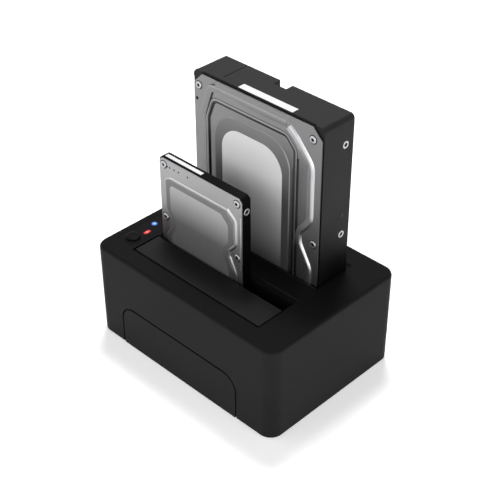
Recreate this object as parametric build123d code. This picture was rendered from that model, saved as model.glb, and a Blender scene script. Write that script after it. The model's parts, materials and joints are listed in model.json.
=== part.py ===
from build123d import *
import math
import os

# Two-bay disk drive dock with a large and a small drive standing in its bays.
# x runs left to right along the front, y front to back, z up. The origin is
# on the table, under the centre of the case. All lengths are in millimetres.

# Drives standing in the bays
drive_rest_z = 23.6
drive_floor_gap = 0.3
slot_back_gap = 0.2
large_width = 101.6
large_height = 147.0
large_thickness = 26.1
large_plug_offset = 20.68
small_width = 69.85
small_height = 100.2
small_thickness = 7.0
small_plug_offset = 4.8

# Flaps and their hinges
flap_thickness = 1.6
flap_drop = 0.2
flap_edge_cut = 0.4
flap_end_gap = 0.3
flap_edge_gap = 0.45
folded_gap = 0.45
barrel_radius = 1.0
hinge_pin_radius = 0.4
hinge_clearance = 0.05
hinge_pin_seat = 2.8
spring_window = 2.2
spring_place = 23.0
spring_wire = 0.2
spring_turns = 3
spring_steps = 8
spring_skin = 0.22
ear_length = 1.2
ear_width = 4.0
ear_place = 11.0
ear_height = 0.9
folded_angle = 89.5

# Drive bays
bay_side_gap = 2.77
bay_play = 3.6
bay_pitch = 46.8
slot_front_gap = 1.8
rail_width = 3.3
rail_gap = 0.4
rail_drop = 0.5
opening_chamfer = 0.35

# Case
left_margin = 22.5
right_margin = 23.3
front_margin = 13.0
rear_margin = 15.3
case_height = 65.0
corner_radius = 8.5
top_edge_radius = 2.2
bottom_edge_cut = 0.5
wall = 2.4
roof = 2.6
base_thickness = 2.4
base_clearance = 0.2

# Feet
foot_stand = 1.0
foot_radius = 5.0
foot_recess = 1.0
foot_inset_x = 19.5
foot_inset_y = 20.0

# Sides of the many-sided bars that stand in for small round ones
round_sides = 28
fine_sides = 16
plain_sides = 12
hidden_sides = 8
shank_sides = 6

# Bay liners
liner_wall = 1.6
liner_front_recess = 2.0
liner_side_recess = 1.6
liner_roof_gap = 0.2
liner_floor = 1.6
rail_depth = 4.5
lug_radius = 3.0
lug_thickness = 2.0
lug_drop = 7.0
lug_left_inset = 15.0
lug_right_inset = 14.2

# Drive connector, plug on the drive and socket in the dock
plug_width = 42.7
plug_plane_depth = 3.5
plug_wing = 1.0
plug_base_z = 6.4
plug_base_height = 1.6
plug_tongue_start = 0.4
plug_front = 2.0
plug_back = 1.7
notch_clearance = 0.3
tongue_thickness = 1.2
signal_start = 4.15
signal_width = 10.4
power_start = 16.95
power_width = 20.6
key_width = 1.3
key_depth = 1.2
tongue_clearance = 0.25
wing_clearance = 0.25
socket_entry = 5.2
socket_front_depth = 1.75
socket_rear_depth = 2.5
socket_foot_margin = 2.15
socket_foot_half_depth = 3.6
socket_window = 0.8
contact_pitch = 1.27
contact_width = 0.6
contact_thickness = 0.12
signal_contacts = 7
power_contacts = 15

# Circuit board
board_thickness = 1.6
board_side_gap = 13.1
board_front_gap = 7.6
board_rear_gap = 1.6
standoff_height = 8.0
standoff_radius = 2.6
board_screw_inset = 6.0

# Screws and their bosses
case_screw_inset = 9.5
case_boss_radius = 3.5
case_screw_radius = 1.5
case_head_radius = 2.8
case_head_height = 1.4
case_screw_length = 12.0
small_screw_radius = 1.2
small_head_radius = 2.2
small_head_height = 1.3
small_screw_length = 7.0
small_boss_radius = 3.0
screw_bite = 0.05
screw_clearance = 0.3

# Front panel
panel_left_inset = 23.7
panel_right_inset = 29.3
panel_top = 29.4
panel_corner = 10.0
panel_groove = 1.2
panel_depth = 1.4
panel_peg_radius = 1.5
panel_peg_inset = 10.0
panel_peg_z = 12.0
panel_peg_length = 2.6
peg_clearance = 0.1

# Controls at the left of the top, set out from the plate's right and front edges
control_gap = 3.3
control_width = 14.2
control_setback = 14.5
control_length = 33.5
control_depth = 0.8
control_groove = 0.25
control_corner = 1.5
button_in = 6.9
button_back = 6.5
button_radius = 4.75
button_proud = 1.2
button_dome = 0.25
button_dome_slope = 78.0
button_edge = 0.4
button_hole_gap = 0.2
button_flange = 1.2
button_flange_height = 1.0
button_stem_radius = 2.0
button_travel = 0.6
activity_in = 4.5
activity_back = 16.0
activity_length = 5.0
activity_width = 2.2
activity_corner = 0.5
power_light_in = 8.1
power_light_back = 25.3
power_light_radius = 2.0
pipe_flange = 1.0
pipe_flange_height = 1.0
pipe_proud = 0.15
pipe_gap = 0.05
panel_board_drop = 7.4
panel_board_thickness = 1.2
panel_board_inset = 1.2
panel_board_width = 12.8
panel_board_length = 36.5
panel_board_overhang = 4.5
panel_tab_width = 4.7
panel_tab_length = 3.5
panel_screw_in = 2.4
panel_screw_ends = 2.2
panel_screw_length = 5.5
switch_size = 6.0
switch_height = 3.5
switch_plunger_radius = 1.7
led_length = 3.2
led_width = 1.6
led_height = 1.0
led_gap = 0.3
header_length = 10.0
header_height = 4.0
header_width = 3.4
header_back = 4.5
ribbon_width = 8.0
ribbon_thickness = 0.6
ribbon_bend = 6.0
ribbon_shift = 5.9
upper_header_in = 7.5

# Parts on the main board
chip_size = 10.0
chip_height = 1.0
chip_pitch = 28.0
capacitor_radius = 3.15
capacitor_height = 8.0
capacitor_pitch = 9.0
inductor_size = 6.5
inductor_height = 3.2
inductor_pitch = 10.0
crystal_length = 5.0
crystal_width = 3.2
crystal_height = 1.2

# Sockets and the switch on the back
port_recess = 1.4
port_gap = 0.25
usb_x = 8.0
usb_width = 12.0
usb_height = 12.6
usb_depth = 15.0
usb_mouth_width = 8.5
usb_mouth_height = 7.8
usb_mouth_chamfer = 1.6
usb_upper_width = 5.9
usb_upper_height = 3.2
usb_cavity = 9.0
usb_rim = 0.8
usb_tongue_width = 5.4
usb_tongue_height = 3.0
usb_upper_tongue = 1.0
socket_inner_setback = 0.8
jack_x = 30.0
jack_width = 9.0
jack_height = 11.0
jack_depth = 14.0
jack_bore_radius = 3.15
jack_bore_depth = 9.5
jack_collar_radius = 4.0
jack_pin_radius = 1.05
rocker_x = 52.0
rocker_z = 38.0
rocker_frame_width = 8.4
rocker_frame_height = 13.4
rocker_bezel = 1.0
rocker_bezel_depth = 1.0
rocker_recess = 1.1
rocker_frame_depth = 12.0
rocker_cavity_width = 7.0
rocker_cavity_height = 12.2
rocker_cavity_depth = 9.0
rocker_pivot_depth = 5.7
rocker_crown = 4.4
rocker_hollow = 1.0
rocker_root = 2.2
rocker_half_length = 5.2
rocker_gap = 0.25
rocker_pivot_radius = 1.0
rocker_angle = 10.0

# Vents in the base
vent_count = 10
vent_pitch = 6.0
vent_width = 2.2
vent_length = 26.0

# Large drive
large_corner = 3.0
large_cover_inset = 0.9
large_cover_cut = 6.8
large_plateau = 0.9
large_sheet = 0.6
large_gasket = 0.4
large_pocket = 0.6
large_foil_sink = 0.1
large_slope = 58.0
pocket_slope = 60.0
large_notch_width = 9.8
large_notch_depth = 5.7
large_notch_height = 8.0
large_groove_inset = 20.0
large_groove_width = 0.5
large_side_hole_z = (28.5, 70.1, 130.1)
large_side_hole_height = 6.35
large_hole_radius = 1.6
large_hole_depth = 5.0
large_board_side_gap = 2.8
large_board_height = 104.0
large_board_thickness = 1.0

# Small drive
small_corner = 3.5
small_cover_inset = 0.6
small_plateau = 0.5
small_sheet = 0.5
small_gasket = 0.2
small_foil = 0.15
small_slope = 50.0
small_side_hole_z = (14.0, 90.6)
small_side_hole_height = 3.0
small_hole_radius = 1.4
small_hole_depth = 3.0
small_board_side_gap = 1.925
small_board_height = 52.0
small_board_thickness = 0.8

# Fasteners and labels on the drives
cover_head_radius = 2.3
cover_head_height = 0.6
cover_shank_radius = 1.1
cover_shank_length = 2.5
board_head_radius = 1.9
board_head_height = 0.5
label_thickness = 0.12
large_end_label = 41.7
large_end_label_depth = 5.0
large_end_label_back = 3.2
small_end_label = 30.5
small_end_label_depth = 2.7
small_end_label_back = 2.4

# Heights, edges and centres shared by several pieces
case_bottom = foot_stand
case_top = case_bottom + case_height
roof_under = case_top - roof
base_top = case_bottom + base_thickness
board_under = base_top + standoff_height
board_top = board_under + board_thickness
bay_length = large_width + bay_play
case_length = left_margin + bay_length + right_margin
bay_left = left_margin - case_length / 2
bay_right = bay_left + bay_length
hinge_y = flap_edge_gap + barrel_radius
slot_rear = hinge_y + barrel_radius + folded_gap + large_thickness + slot_back_gap
slot_front = slot_rear - slot_back_gap - small_thickness - slot_front_gap
opening_rear = slot_rear + rail_width + rail_gap
case_depth = front_margin + bay_pitch + opening_rear + rear_margin
outer_front_y = -case_depth / 2
outer_rear_y = case_depth / 2
front_bay_y = outer_front_y + front_margin
bay_places = {"front": front_bay_y, "rear": front_bay_y + bay_pitch}
floor_top = drive_rest_z - drive_floor_gap
floor_under = floor_top - liner_floor
hinge_z = case_top - flap_drop - barrel_radius
flap_top = case_top - flap_drop
flap_under = flap_top - flap_thickness
spring_x = bay_left + spring_place
lug_under = roof_under - lug_drop - lug_thickness
front_lug_y = -liner_front_recess - liner_wall - lug_radius
rear_lug_y = opening_rear + lug_radius + 0.1
drive_back = slot_rear - slot_back_gap
plug_plane = drive_back - plug_plane_depth
large_left = bay_left + bay_side_gap
plug_left = large_left + large_plug_offset
socket_centre_x = plug_left + plug_width / 2
small_left = plug_left + plug_width + small_plug_offset - small_width
control_right = bay_left - control_gap
control_left = control_right - control_width
control_front = outer_front_y + control_setback
control_rear = control_front + control_length
button_x = control_right - button_in
button_y = control_front + button_back
activity_x = control_right - activity_in
activity_y = control_front + activity_back
power_light_x = control_right - power_light_in
power_light_y = control_front + power_light_back
panel_board_top = roof_under - panel_board_drop
panel_board_under = panel_board_top - panel_board_thickness
panel_board_right = control_right - panel_board_inset
panel_board_left = panel_board_right - panel_board_width
panel_board_front = control_front - panel_board_overhang
panel_board_rear = panel_board_front + panel_board_length
panel_screw_x = panel_board_right - panel_screw_in
panel_screw_places = [
    (panel_screw_x, panel_board_front + panel_screw_ends),
    (panel_screw_x, panel_board_rear - panel_screw_ends),
]
upper_header_x = control_right - upper_header_in
lower_header_x = upper_header_x + ribbon_shift
header_y = control_front + header_back
button_stem_end = panel_board_top + switch_height + button_travel + 0.1
board_half_length = case_length / 2 - wall - board_side_gap
board_front_y = outer_front_y + wall + board_front_gap
board_rear_y = outer_rear_y - wall - board_rear_gap
rocker_pivot_y = outer_rear_y - rocker_pivot_depth
panel_left = panel_left_inset - case_length / 2
panel_right = case_length / 2 - panel_right_inset
large_front = bay_places["rear"] + drive_back - large_thickness
large_seat = large_front + large_plateau + large_sheet + large_gasket
large_back = large_front + large_thickness
large_board_face = bay_places["rear"] + plug_plane + plug_back
small_front = bay_places["front"] + drive_back - small_thickness
small_seat = small_front + small_plateau + small_sheet + small_gasket
small_back = small_front + small_thickness
small_board_face = bay_places["front"] + plug_plane + plug_back
large_board_back = large_board_face + large_board_thickness
small_board_back = small_board_face + small_board_thickness
large_board_width = large_width - 2 * large_board_side_gap
small_board_width = small_width - 2 * small_board_side_gap
large_board_screws = [(x, z) for x in (8.0, large_width - 8.0) for z in (30.0, large_board_height - 6.0)]
small_board_screws = [(x, z) for x in (6.0, small_width - 6.0) for z in (18.0, small_board_height - 5.0)]


def block(x, y, z):
    """Box between a pair of limits on each axis."""
    corner = Pos(x[0], y[0], z[0])
    low = (Align.MIN, Align.MIN, Align.MIN)
    return corner * Box(x[1] - x[0], y[1] - y[0], z[1] - z[0], align=low)


def upright(outline, low, high):
    """Extrude an outline drawn in x and y between two heights."""
    return extrude(Plane.XY.offset(low) * outline, high - low)


def facing(outline, front, back):
    """Extrude an outline drawn in x and z from a front to a back place on y."""
    return extrude(Plane.XZ.offset(-back) * outline, back - front)


def rounded_outline(length, depth, radius, x=0.0, y=0.0):
    """Rectangle with four rounded corners, about a centre."""
    return Pos(x, y) * RectangleRounded(length, depth, radius)


def rod(start, direction, radius, length):
    """Round bar from a start point along a direction."""
    return extrude(Plane(origin=start, z_dir=direction) * Circle(radius), length)


def bar(start, direction, radius, length, sides=plain_sides):
    """Many-sided bar that stands in for a small round one."""
    outline = RegularPolygon(radius, sides)
    return extrude(Plane(origin=start, z_dir=direction) * outline, length)


def rounded_shape(points, radii):
    """Closed outline with its own rounding at each corner."""
    return make_face(FilletPolyline(*points, radius=radii, close=True))


def group(pieces):
    """Several separate solids kept together as one node."""
    return Compound([solid for piece in pieces for solid in piece.solids()])


def pan_screw(seat, direction, head_radius, head_height, radius, length, sides=hidden_sides):
    """Screw whose head stands on a seat and whose shank runs along a direction."""
    back = tuple(-c for c in direction)
    head = bar(seat, back, head_radius, head_height, sides)
    return head + bar(seat, direction, radius, length, shank_sides)


def mirrored_places(x, y):
    """The four corners of a rectangle about the centre of the case."""
    return [(sx * x, sy * y) for sx in (-1, 1) for sy in (-1, 1)]


def liner_lugs(bay_y):
    """Centres of the two screw lugs of one bay liner."""
    left = bay_left + lug_left_inset
    return [(left, bay_y + front_lug_y), (bay_right - lug_right_inset, bay_y + rear_lug_y)]


def panel_outline(margin):
    """Front panel outline in x and z, grown by a margin, square at the bottom."""
    width = panel_right - panel_left + 2 * margin
    height = panel_top + margin
    centre = Pos((panel_left + panel_right) / 2, case_bottom + height / 2)
    outline = centre * Rectangle(width, height)
    return fillet(outline.vertices().group_by(Axis.Y)[-1], panel_corner + margin)


def control_outline(inset):
    """Outline of the plate round the button and the lights."""
    length = control_right - control_left - 2 * inset
    depth = control_rear - control_front - 2 * inset
    x = (control_left + control_right) / 2
    y = (control_front + control_rear) / 2
    return rounded_outline(length, depth, control_corner, x, y)


def activity_outline(margin):
    """Long light outline, its length along y."""
    width = activity_width + 2 * margin
    length = activity_length + 2 * margin
    outline = Pos(activity_x, activity_y) * Rectangle(width, length)
    return chamfer(outline.vertices(), activity_corner)


def control_holes(low, high):
    """Holes for the button and for the two light pipes."""
    holes = bar((button_x, button_y, low), (0, 0, 1), button_radius + button_hole_gap, high - low, round_sides)
    light = power_light_radius + pipe_gap
    holes += bar((power_light_x, power_light_y, low), (0, 0, 1), light, high - low, round_sides)
    holes += upright(activity_outline(pipe_gap), low, high)
    return holes


def usb_mouth():
    """Outline of the opening of the data socket, in x and z."""
    lower = Rectangle(usb_mouth_width, usb_mouth_height, align=(Align.CENTER, Align.MIN))
    lower = chamfer(lower.vertices().group_by(Axis.Y)[-1], usb_mouth_chamfer)
    height = usb_mouth_height + usb_upper_height
    upper = Rectangle(usb_upper_width, height, align=(Align.CENTER, Align.MIN))
    return Pos(usb_x, board_top + usb_rim) * (lower + upper)


def upper_housing():
    """Moulded shell, open below, with the bay openings, panel recess and ports."""
    body = upright(rounded_outline(case_length, case_depth, corner_radius), case_bottom, case_top)
    body = fillet(body.faces().sort_by(Axis.Z)[-1].edges(), top_edge_radius)
    body = chamfer(body.faces().sort_by(Axis.Z)[0].edges(), bottom_edge_cut)
    length = case_length - 2 * wall
    depth = case_depth - 2 * wall
    inner = rounded_outline(length, depth, corner_radius - wall)
    body -= upright(inner, case_bottom - 1, roof_under)
    for bay_y in bay_places.values():
        y = (bay_y, bay_y + opening_rear)
        body -= block((bay_left, bay_right), y, (roof_under - 1, case_top + 1))
    top = body.faces().filter_by(Plane.XY).sort_by(Axis.Z)[-1]
    edges = [edge for wire in top.inner_wires() for edge in wire.edges()]
    body = chamfer(edges, opening_chamfer)
    for bay_y in bay_places.values():
        body -= hinge_pin_slots(bay_y + hinge_y)
    body -= facing(panel_outline(panel_groove), outer_front_y - 1, outer_front_y + panel_depth)
    for x in panel_peg_places():
        start = (x, outer_front_y, case_bottom + panel_peg_z)
        body -= bar(start, (0, 1, 0), panel_peg_radius + peg_clearance, 2 * wall)
    body -= upright(control_outline(0), case_top - control_depth, case_top + 1)
    body -= control_holes(roof_under - 1, case_top + 1)
    body -= rear_openings()
    return body + housing_bosses()


def hinge_pin_slots(y):
    """Slots in the roof, open below, that take both ends of a hinge pin."""
    slots = None
    for end, side in ((bay_left, -1), (bay_right, 1)):
        x = sorted((end - side, end + side * (hinge_pin_seat + hinge_clearance)))
        reach = (y - hinge_pin_radius, y + hinge_pin_radius)
        slot = block(x, reach, (roof_under - 1, hinge_z + hinge_pin_radius))
        slots = slot if slots is None else slots + slot
    return slots


def rear_openings():
    """Holes in the rear wall for the sockets and the power switch."""
    inside = outer_rear_y - 2 * wall
    outside = outer_rear_y + 1
    half = usb_width / 2 + port_gap
    z = (board_top - port_gap, board_top + usb_height + port_gap)
    holes = block((usb_x - half, usb_x + half), (inside, outside), z)
    jack_z = board_top + jack_height / 2
    start = (jack_x, inside, jack_z)
    holes += bar(start, (0, 1, 0), jack_collar_radius + port_gap, outside - inside, round_sides)
    width = rocker_frame_width / 2 + 0.1
    height = rocker_frame_height / 2 + 0.1
    x = (rocker_x - width, rocker_x + width)
    z = (rocker_z - height, rocker_z + height)
    holes += block(x, (inside, outside), z)
    width += rocker_bezel
    height += rocker_bezel
    x = (rocker_x - width, rocker_x + width)
    z = (rocker_z - height, rocker_z + height)
    return holes + block(x, (outer_rear_y - rocker_recess, outside), z)


def housing_bosses():
    """Screw bosses that hang from the roof."""
    pilot = case_screw_radius - screw_bite
    bosses = []
    for x, y in case_screw_places():
        height = case_height - base_thickness - roof / 2
        boss = bar((x, y, base_top), (0, 0, 1), case_boss_radius, height, hidden_sides)
        bosses.append(boss - bar((x, y, base_top), (0, 0, 1), pilot, case_screw_length, shank_sides))
    pilot = small_screw_radius - screw_bite
    for bay_y in bay_places.values():
        for x, y in liner_lugs(bay_y):
            bottom = roof_under - lug_drop
            boss = bar((x, y, bottom), (0, 0, 1), small_boss_radius, lug_drop + roof / 2, hidden_sides)
            bosses.append(boss - bar((x, y, bottom), (0, 0, 1), pilot, small_screw_length, shank_sides))
    for x, y in panel_screw_places:
        height = panel_board_drop + roof / 3
        boss = bar((x, y, panel_board_top), (0, 0, 1), small_boss_radius, height, hidden_sides)
        bosses.append(boss - bar((x, y, panel_board_top), (0, 0, 1), pilot, panel_screw_length, shank_sides))
    return sum(bosses[1:], bosses[0])


def base_plate():
    """Bottom cover with standoffs, vents, foot recesses and sunk screw holes."""
    length = case_length - 2 * wall - 2 * base_clearance
    depth = case_depth - 2 * wall - 2 * base_clearance
    outline = rounded_outline(length, depth, corner_radius - wall - base_clearance)
    plate = upright(outline, case_bottom, base_top)
    under = case_bottom - 1
    for x, y in foot_places():
        plate -= bar((x, y, under), (0, 0, 1), foot_radius, foot_recess + 1, fine_sides)
    for x, y in case_screw_places():
        plate -= bar((x, y, under), (0, 0, 1), case_head_radius + screw_clearance, case_head_height + 1)
        plate -= bar((x, y, under), (0, 0, 1), case_screw_radius + 0.1, base_thickness + 2, shank_sides)
    for index in range(vent_count):
        x = (index - (vent_count - 1) / 2) * vent_pitch
        reach = (-vent_length / 2, vent_length / 2)
        plate -= block((x - vent_width / 2, x + vent_width / 2), reach, (under, base_top + 1))
    for x, y in board_screw_places():
        post = bar((x, y, base_top), (0, 0, 1), standoff_radius, standoff_height, hidden_sides)
        pilot = small_screw_radius - screw_bite
        plate += post - bar((x, y, base_top + 1), (0, 0, 1), pilot, standoff_height, shank_sides)
    return plate


def foot_places():
    """Centres of the four feet."""
    return mirrored_places(case_length / 2 - foot_inset_x, case_depth / 2 - foot_inset_y)


def case_screw_places():
    """Centres of the four screws that close the base."""
    return mirrored_places(case_length / 2 - case_screw_inset, case_depth / 2 - case_screw_inset)


def board_screw_places():
    """Centres of the four screws that hold the main board."""
    x = board_half_length - board_screw_inset
    rows = (board_front_y + board_screw_inset, board_rear_y - board_screw_inset)
    return [(side * x, y) for side in (-1, 1) for y in rows]


def panel_peg_places():
    """Where the front panel's two pegs stand on x."""
    return (panel_left + panel_peg_inset, panel_right - panel_peg_inset)


def rubber_feet():
    """Four discs pressed into the recesses of the base."""
    top = case_bottom + foot_recess
    return group([bar((x, y, 0), (0, 0, 1), foot_radius, top, fine_sides) for x, y in foot_places()])


def case_screws():
    """Four screws that close the base."""
    seat = case_bottom + case_head_height
    screws = []
    for x, y in case_screw_places():
        length = case_screw_length - 1
        radius = case_screw_radius - screw_bite
        head_height = case_head_height - 0.2
        start = (x, y, seat)
        screws.append(pan_screw(start, (0, 0, 1), case_head_radius, head_height, radius, length, plain_sides))
    return group(screws)


def small_screws(seats, direction, length):
    """Small screws of one size on several seats."""
    radius = small_screw_radius - screw_bite
    return group([pan_screw(s, direction, small_head_radius, small_head_height, radius, length) for s in seats])


def front_panel():
    """Inlaid plate low on the front, with two locating pegs."""
    back = outer_front_y + panel_depth
    panel = facing(panel_outline(0), outer_front_y, back)
    for x in panel_peg_places():
        start = (x, back, case_bottom + panel_peg_z)
        panel += bar(start, (0, 1, 0), panel_peg_radius, panel_peg_length)
    return panel


def control_plate():
    """Thin plate let into the roof round the button and the lights."""
    low = case_top - control_depth
    plate = upright(control_outline(control_groove), low, case_top - 0.05)
    return plate - control_holes(low - 1, case_top + 1)


def clone_button():
    """Round push button with a domed top and a flange that keeps it under the roof."""
    flange_top = roof_under - 0.2
    top = case_top + button_proud
    start = (button_x, button_y, flange_top - 0.1)
    cap = bar(start, (0, 0, 1), button_radius, top - flange_top + 0.1, round_sides)
    cap = chamfer(cap.faces().sort_by(Axis.Z)[-1].edges(), button_edge)
    crown = Pos(button_x, button_y, top) * RegularPolygon(button_radius - button_edge, round_sides)
    cap += extrude(crown, button_dome, taper=button_dome_slope)
    bottom = flange_top - button_flange_height
    flange_radius = button_radius + button_flange
    cap += bar((button_x, button_y, bottom), (0, 0, 1), flange_radius, button_flange_height)
    stem_length = bottom - button_stem_end
    stem = (button_x, button_y, button_stem_end)
    return cap + bar(stem, (0, 0, 1), button_stem_radius, stem_length, hidden_sides)


def clone_switch():
    """Tactile switch body with a well for its plunger."""
    half = switch_size / 2
    x = (button_x - half, button_x + half)
    y = (button_y - half, button_y + half)
    top = panel_board_top + switch_height
    body = block(x, y, (panel_board_top, top))
    well = top - button_travel - 1.6
    return body - bar((button_x, button_y, well), (0, 0, 1), switch_plunger_radius + 0.1, 3)


def clone_switch_plunger():
    """Plunger of the tactile switch, which the button's stem rests on."""
    bottom = panel_board_top + switch_height - 1.4
    return bar((button_x, button_y, bottom), (0, 0, 1), switch_plunger_radius, button_stem_end - bottom)


def light_pipe(outline, flange):
    """Clear pipe from just above a lamp to the roof, with a flange under the roof."""
    bottom = panel_board_top + led_height + led_gap
    pipe = upright(outline, bottom, case_top + pipe_proud)
    return pipe + upright(flange, roof_under - pipe_flange_height, roof_under)


def power_light_pipe():
    """Round light pipe."""
    place = Pos(power_light_x, power_light_y)
    flange = place * RegularPolygon(power_light_radius + pipe_flange, hidden_sides)
    return light_pipe(place * RegularPolygon(power_light_radius, round_sides), flange)


def activity_light_pipe():
    """Long light pipe."""
    width = activity_width + 2 * pipe_flange
    flange = Pos(activity_x, activity_y) * Rectangle(width, activity_length + 2 * pipe_flange)
    return light_pipe(activity_outline(0), flange)


def lamp(x, y):
    """Small lamp on the panel board, under a light pipe."""
    half_length = led_length / 2
    half_width = led_width / 2
    z = (panel_board_top, panel_board_top + led_height)
    return block((x - half_width, x + half_width), (y - half_length, y + half_length), z)


def panel_board():
    """Small board under the controls, screwed to two bosses."""
    z = (panel_board_under, panel_board_top)
    tab_rear = panel_board_front + panel_tab_length
    board = block((panel_board_left, panel_board_right), (tab_rear, panel_board_rear), z)
    board += block((panel_board_right - panel_tab_width, panel_board_right), (panel_board_front, tab_rear), z)
    for px, py in panel_screw_places:
        board -= bar((px, py, panel_board_under - 1), (0, 0, 1), small_screw_radius + 0.1, 3, shank_sides)
    return board


def ribbon_headers():
    """Plug under the panel board and plug on the main board."""
    y = (header_y - header_length / 2, header_y + header_length / 2)
    half = header_width / 2
    headers = []
    for x, low in ((upper_header_x, panel_board_under - header_height), (lower_header_x, board_top)):
        headers.append(block((x - half, x + half), y, (low, low + header_height)))
    return group(headers)


def panel_ribbon():
    """Flat lead held between the two headers, with one easy double bend."""
    start = (upper_header_x, panel_board_under - header_height)
    end = (lower_header_x, board_top + header_height)
    middle = (start[1] + end[1]) / 2
    shift = abs(end[0] - start[0])
    high = (start[0], middle + shift)
    low = (end[0], middle - shift)
    route = FilletPolyline(start, high, low, end, radius=ribbon_bend)
    band = trace(route, ribbon_thickness)
    return facing(band, header_y - ribbon_width / 2, header_y + ribbon_width / 2)


def main_board():
    """Main circuit board on the four standoffs."""
    half = board_half_length
    board = block((-half, half), (board_front_y, board_rear_y), (board_under, board_top))
    for x, y in board_screw_places():
        hole = (x, y, board_under - 1)
        board -= bar(hole, (0, 0, 1), small_screw_radius + 0.1, board_thickness + 2, shank_sides)
    return board


def board_box(x, y, length, depth, height):
    """Rectangular component standing on the main board, about a centre."""
    span_x = (x - length / 2, x + length / 2)
    span_y = (y - depth / 2, y + depth / 2)
    return block(span_x, span_y, (board_top, board_top + height))


def bridge_chips():
    """The two controller chips, one for each bay."""
    places = (socket_centre_x - chip_pitch / 2, socket_centre_x + chip_pitch / 2)
    y = front_bay_y + bay_pitch
    return group([board_box(x, y, chip_size, chip_size, chip_height) for x in places])


def power_inductors():
    """Coils of the power converters."""
    y = board_rear_y - board_screw_inset
    first = usb_x - 2.2 * inductor_pitch
    places = (first - inductor_pitch, first)
    return group([board_box(x, y, inductor_size, inductor_size, inductor_height) for x in places])


def power_capacitors():
    """Upright round capacitors beside the power inlet."""
    y = board_rear_y - board_screw_inset
    first = board_screw_inset + capacitor_pitch - board_half_length
    places = [(first, y), (first + capacitor_pitch, y), (usb_x - 1.4 * capacitor_pitch, y)]
    return group([bar((px, py, board_top), (0, 0, 1), capacitor_radius, capacitor_height) for px, py in places])


def clock_crystal():
    """Metal can of the clock crystal."""
    return board_box(socket_centre_x, front_bay_y + bay_pitch, crystal_length, crystal_width, crystal_height)


def bay_liner(bay_y):
    """Well under one opening: walls, floor with a socket window, rail and lugs."""
    x = (bay_left - liner_side_recess, bay_right + liner_side_recess)
    y = (bay_y - liner_front_recess, bay_y + slot_rear)
    top = roof_under - liner_roof_gap
    outer_x = (x[0] - liner_wall, x[1] + liner_wall)
    outer_y = (y[0] - liner_wall, y[1] + liner_wall)
    liner = block(outer_x, outer_y, (floor_under, top)) - block(x, y, (floor_top, top + 1))
    plane = bay_y + plug_plane
    half_x = plug_width / 2 - plug_wing - wing_clearance + socket_window
    window_x = (socket_centre_x - half_x, socket_centre_x + half_x)
    window_y = (plane - socket_front_depth - socket_window, plane + socket_rear_depth + socket_window)
    liner -= block(window_x, window_y, (floor_under - 1, floor_top + 1))
    rail_x = (bay_left + liner_roof_gap, bay_right - liner_roof_gap)
    rail_top = case_top - rail_drop
    rail_y = (y[1], y[1] + rail_width)
    liner += block(rail_x, rail_y, (rail_top - rail_depth, rail_top))
    for lug_centre in liner_lugs(bay_y):
        liner += lug(lug_centre, outer_y)
    for side, inner in ((-1, x[0]), (1, x[1])):
        seat = inner + side * (hinge_pin_seat - liner_side_recess - hinge_clearance)
        span = sorted((inner + side * 0.1, seat))
        reach = (bay_y + hinge_y - 0.35, bay_y + hinge_y + 0.35)
        liner += block(span, reach, (top - 0.5, hinge_z - hinge_pin_radius - 0.02))
    return liner


def lug(centre, outer_y):
    """Ear with a screw hole that reaches from the liner's wall to a boss."""
    wall_y = outer_y[0] if centre[1] < outer_y[0] else outer_y[1]
    high = lug_under + lug_thickness
    x = (centre[0] - lug_radius, centre[0] + lug_radius)
    ear = block(x, sorted((wall_y, centre[1])), (lug_under, high))
    ear += bar((centre[0], centre[1], lug_under), (0, 0, 1), lug_radius, lug_thickness)
    hole = (centre[0], centre[1], lug_under - 1)
    return ear - bar(hole, (0, 0, 1), small_screw_radius + 0.2, lug_thickness + 2, shank_sides)


def liner_screws():
    """Screws that hold both liners to the bosses under the roof."""
    seats = [(x, y, lug_under) for bay_y in bay_places.values() for x, y in liner_lugs(bay_y)]
    return small_screws(seats, (0, 0, 1), small_screw_length + lug_thickness - 0.5)


def flap_turn(bay_y, angle):
    """Turn about a bay's hinge, positive as the flap's free edge goes down."""
    place = Pos(0, bay_y + hinge_y, hinge_z)
    return place * Rot(-angle, 0, 0) * place.inverse()


def flap(bay_y, angle):
    """Hinged door over the wide part of a bay."""
    y = bay_y + hinge_y
    left = bay_left + flap_end_gap
    right = bay_right - flap_end_gap
    door = block((left, right), (y, bay_y + slot_front), (flap_under, flap_top))
    free = door.edges().filter_by(Axis.X).group_by(Axis.Y)[-1]
    door = chamfer(free, flap_edge_cut)
    door += rod((left, y, hinge_z), (1, 0, 0), barrel_radius, right - left)
    bore = hinge_pin_radius + hinge_clearance
    door -= rod((left - 1, y, hinge_z), (1, 0, 0), bore, right - left + 2)
    window_x = (spring_x - spring_window / 2, spring_x + spring_window / 2)
    window_y = (y - barrel_radius - 1, y + barrel_radius + 0.4)
    door -= block(window_x, window_y, (flap_under - 2, flap_top - spring_skin))
    for end, side in ((left, -1), (right, 1)):
        door += stop_ear(end, side, y)
    return flap_turn(bay_y, angle) * door


def stop_ear(end, side, y):
    """Ear that meets the underside of the roof when the flap is shut."""
    reach = (y + ear_place, y + ear_place + ear_width)
    ear_top = roof_under - 0.1
    root = sorted((end, end - side * 2.0))
    tip = sorted((end - side * 2.0, end + side * (flap_end_gap + ear_length)))
    web = block(root, reach, (ear_top - ear_height, flap_under + 0.2))
    return web + block(tip, reach, (ear_top - ear_height, ear_top))


def hinge_pin(bay_y):
    """Steel pin through a flap's barrel, held in the roof at both ends."""
    left = bay_left - hinge_pin_seat
    length = bay_length + 2 * hinge_pin_seat
    return rod((left, bay_y + hinge_y, hinge_z), (1, 0, 0), hinge_pin_radius, length)


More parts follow.
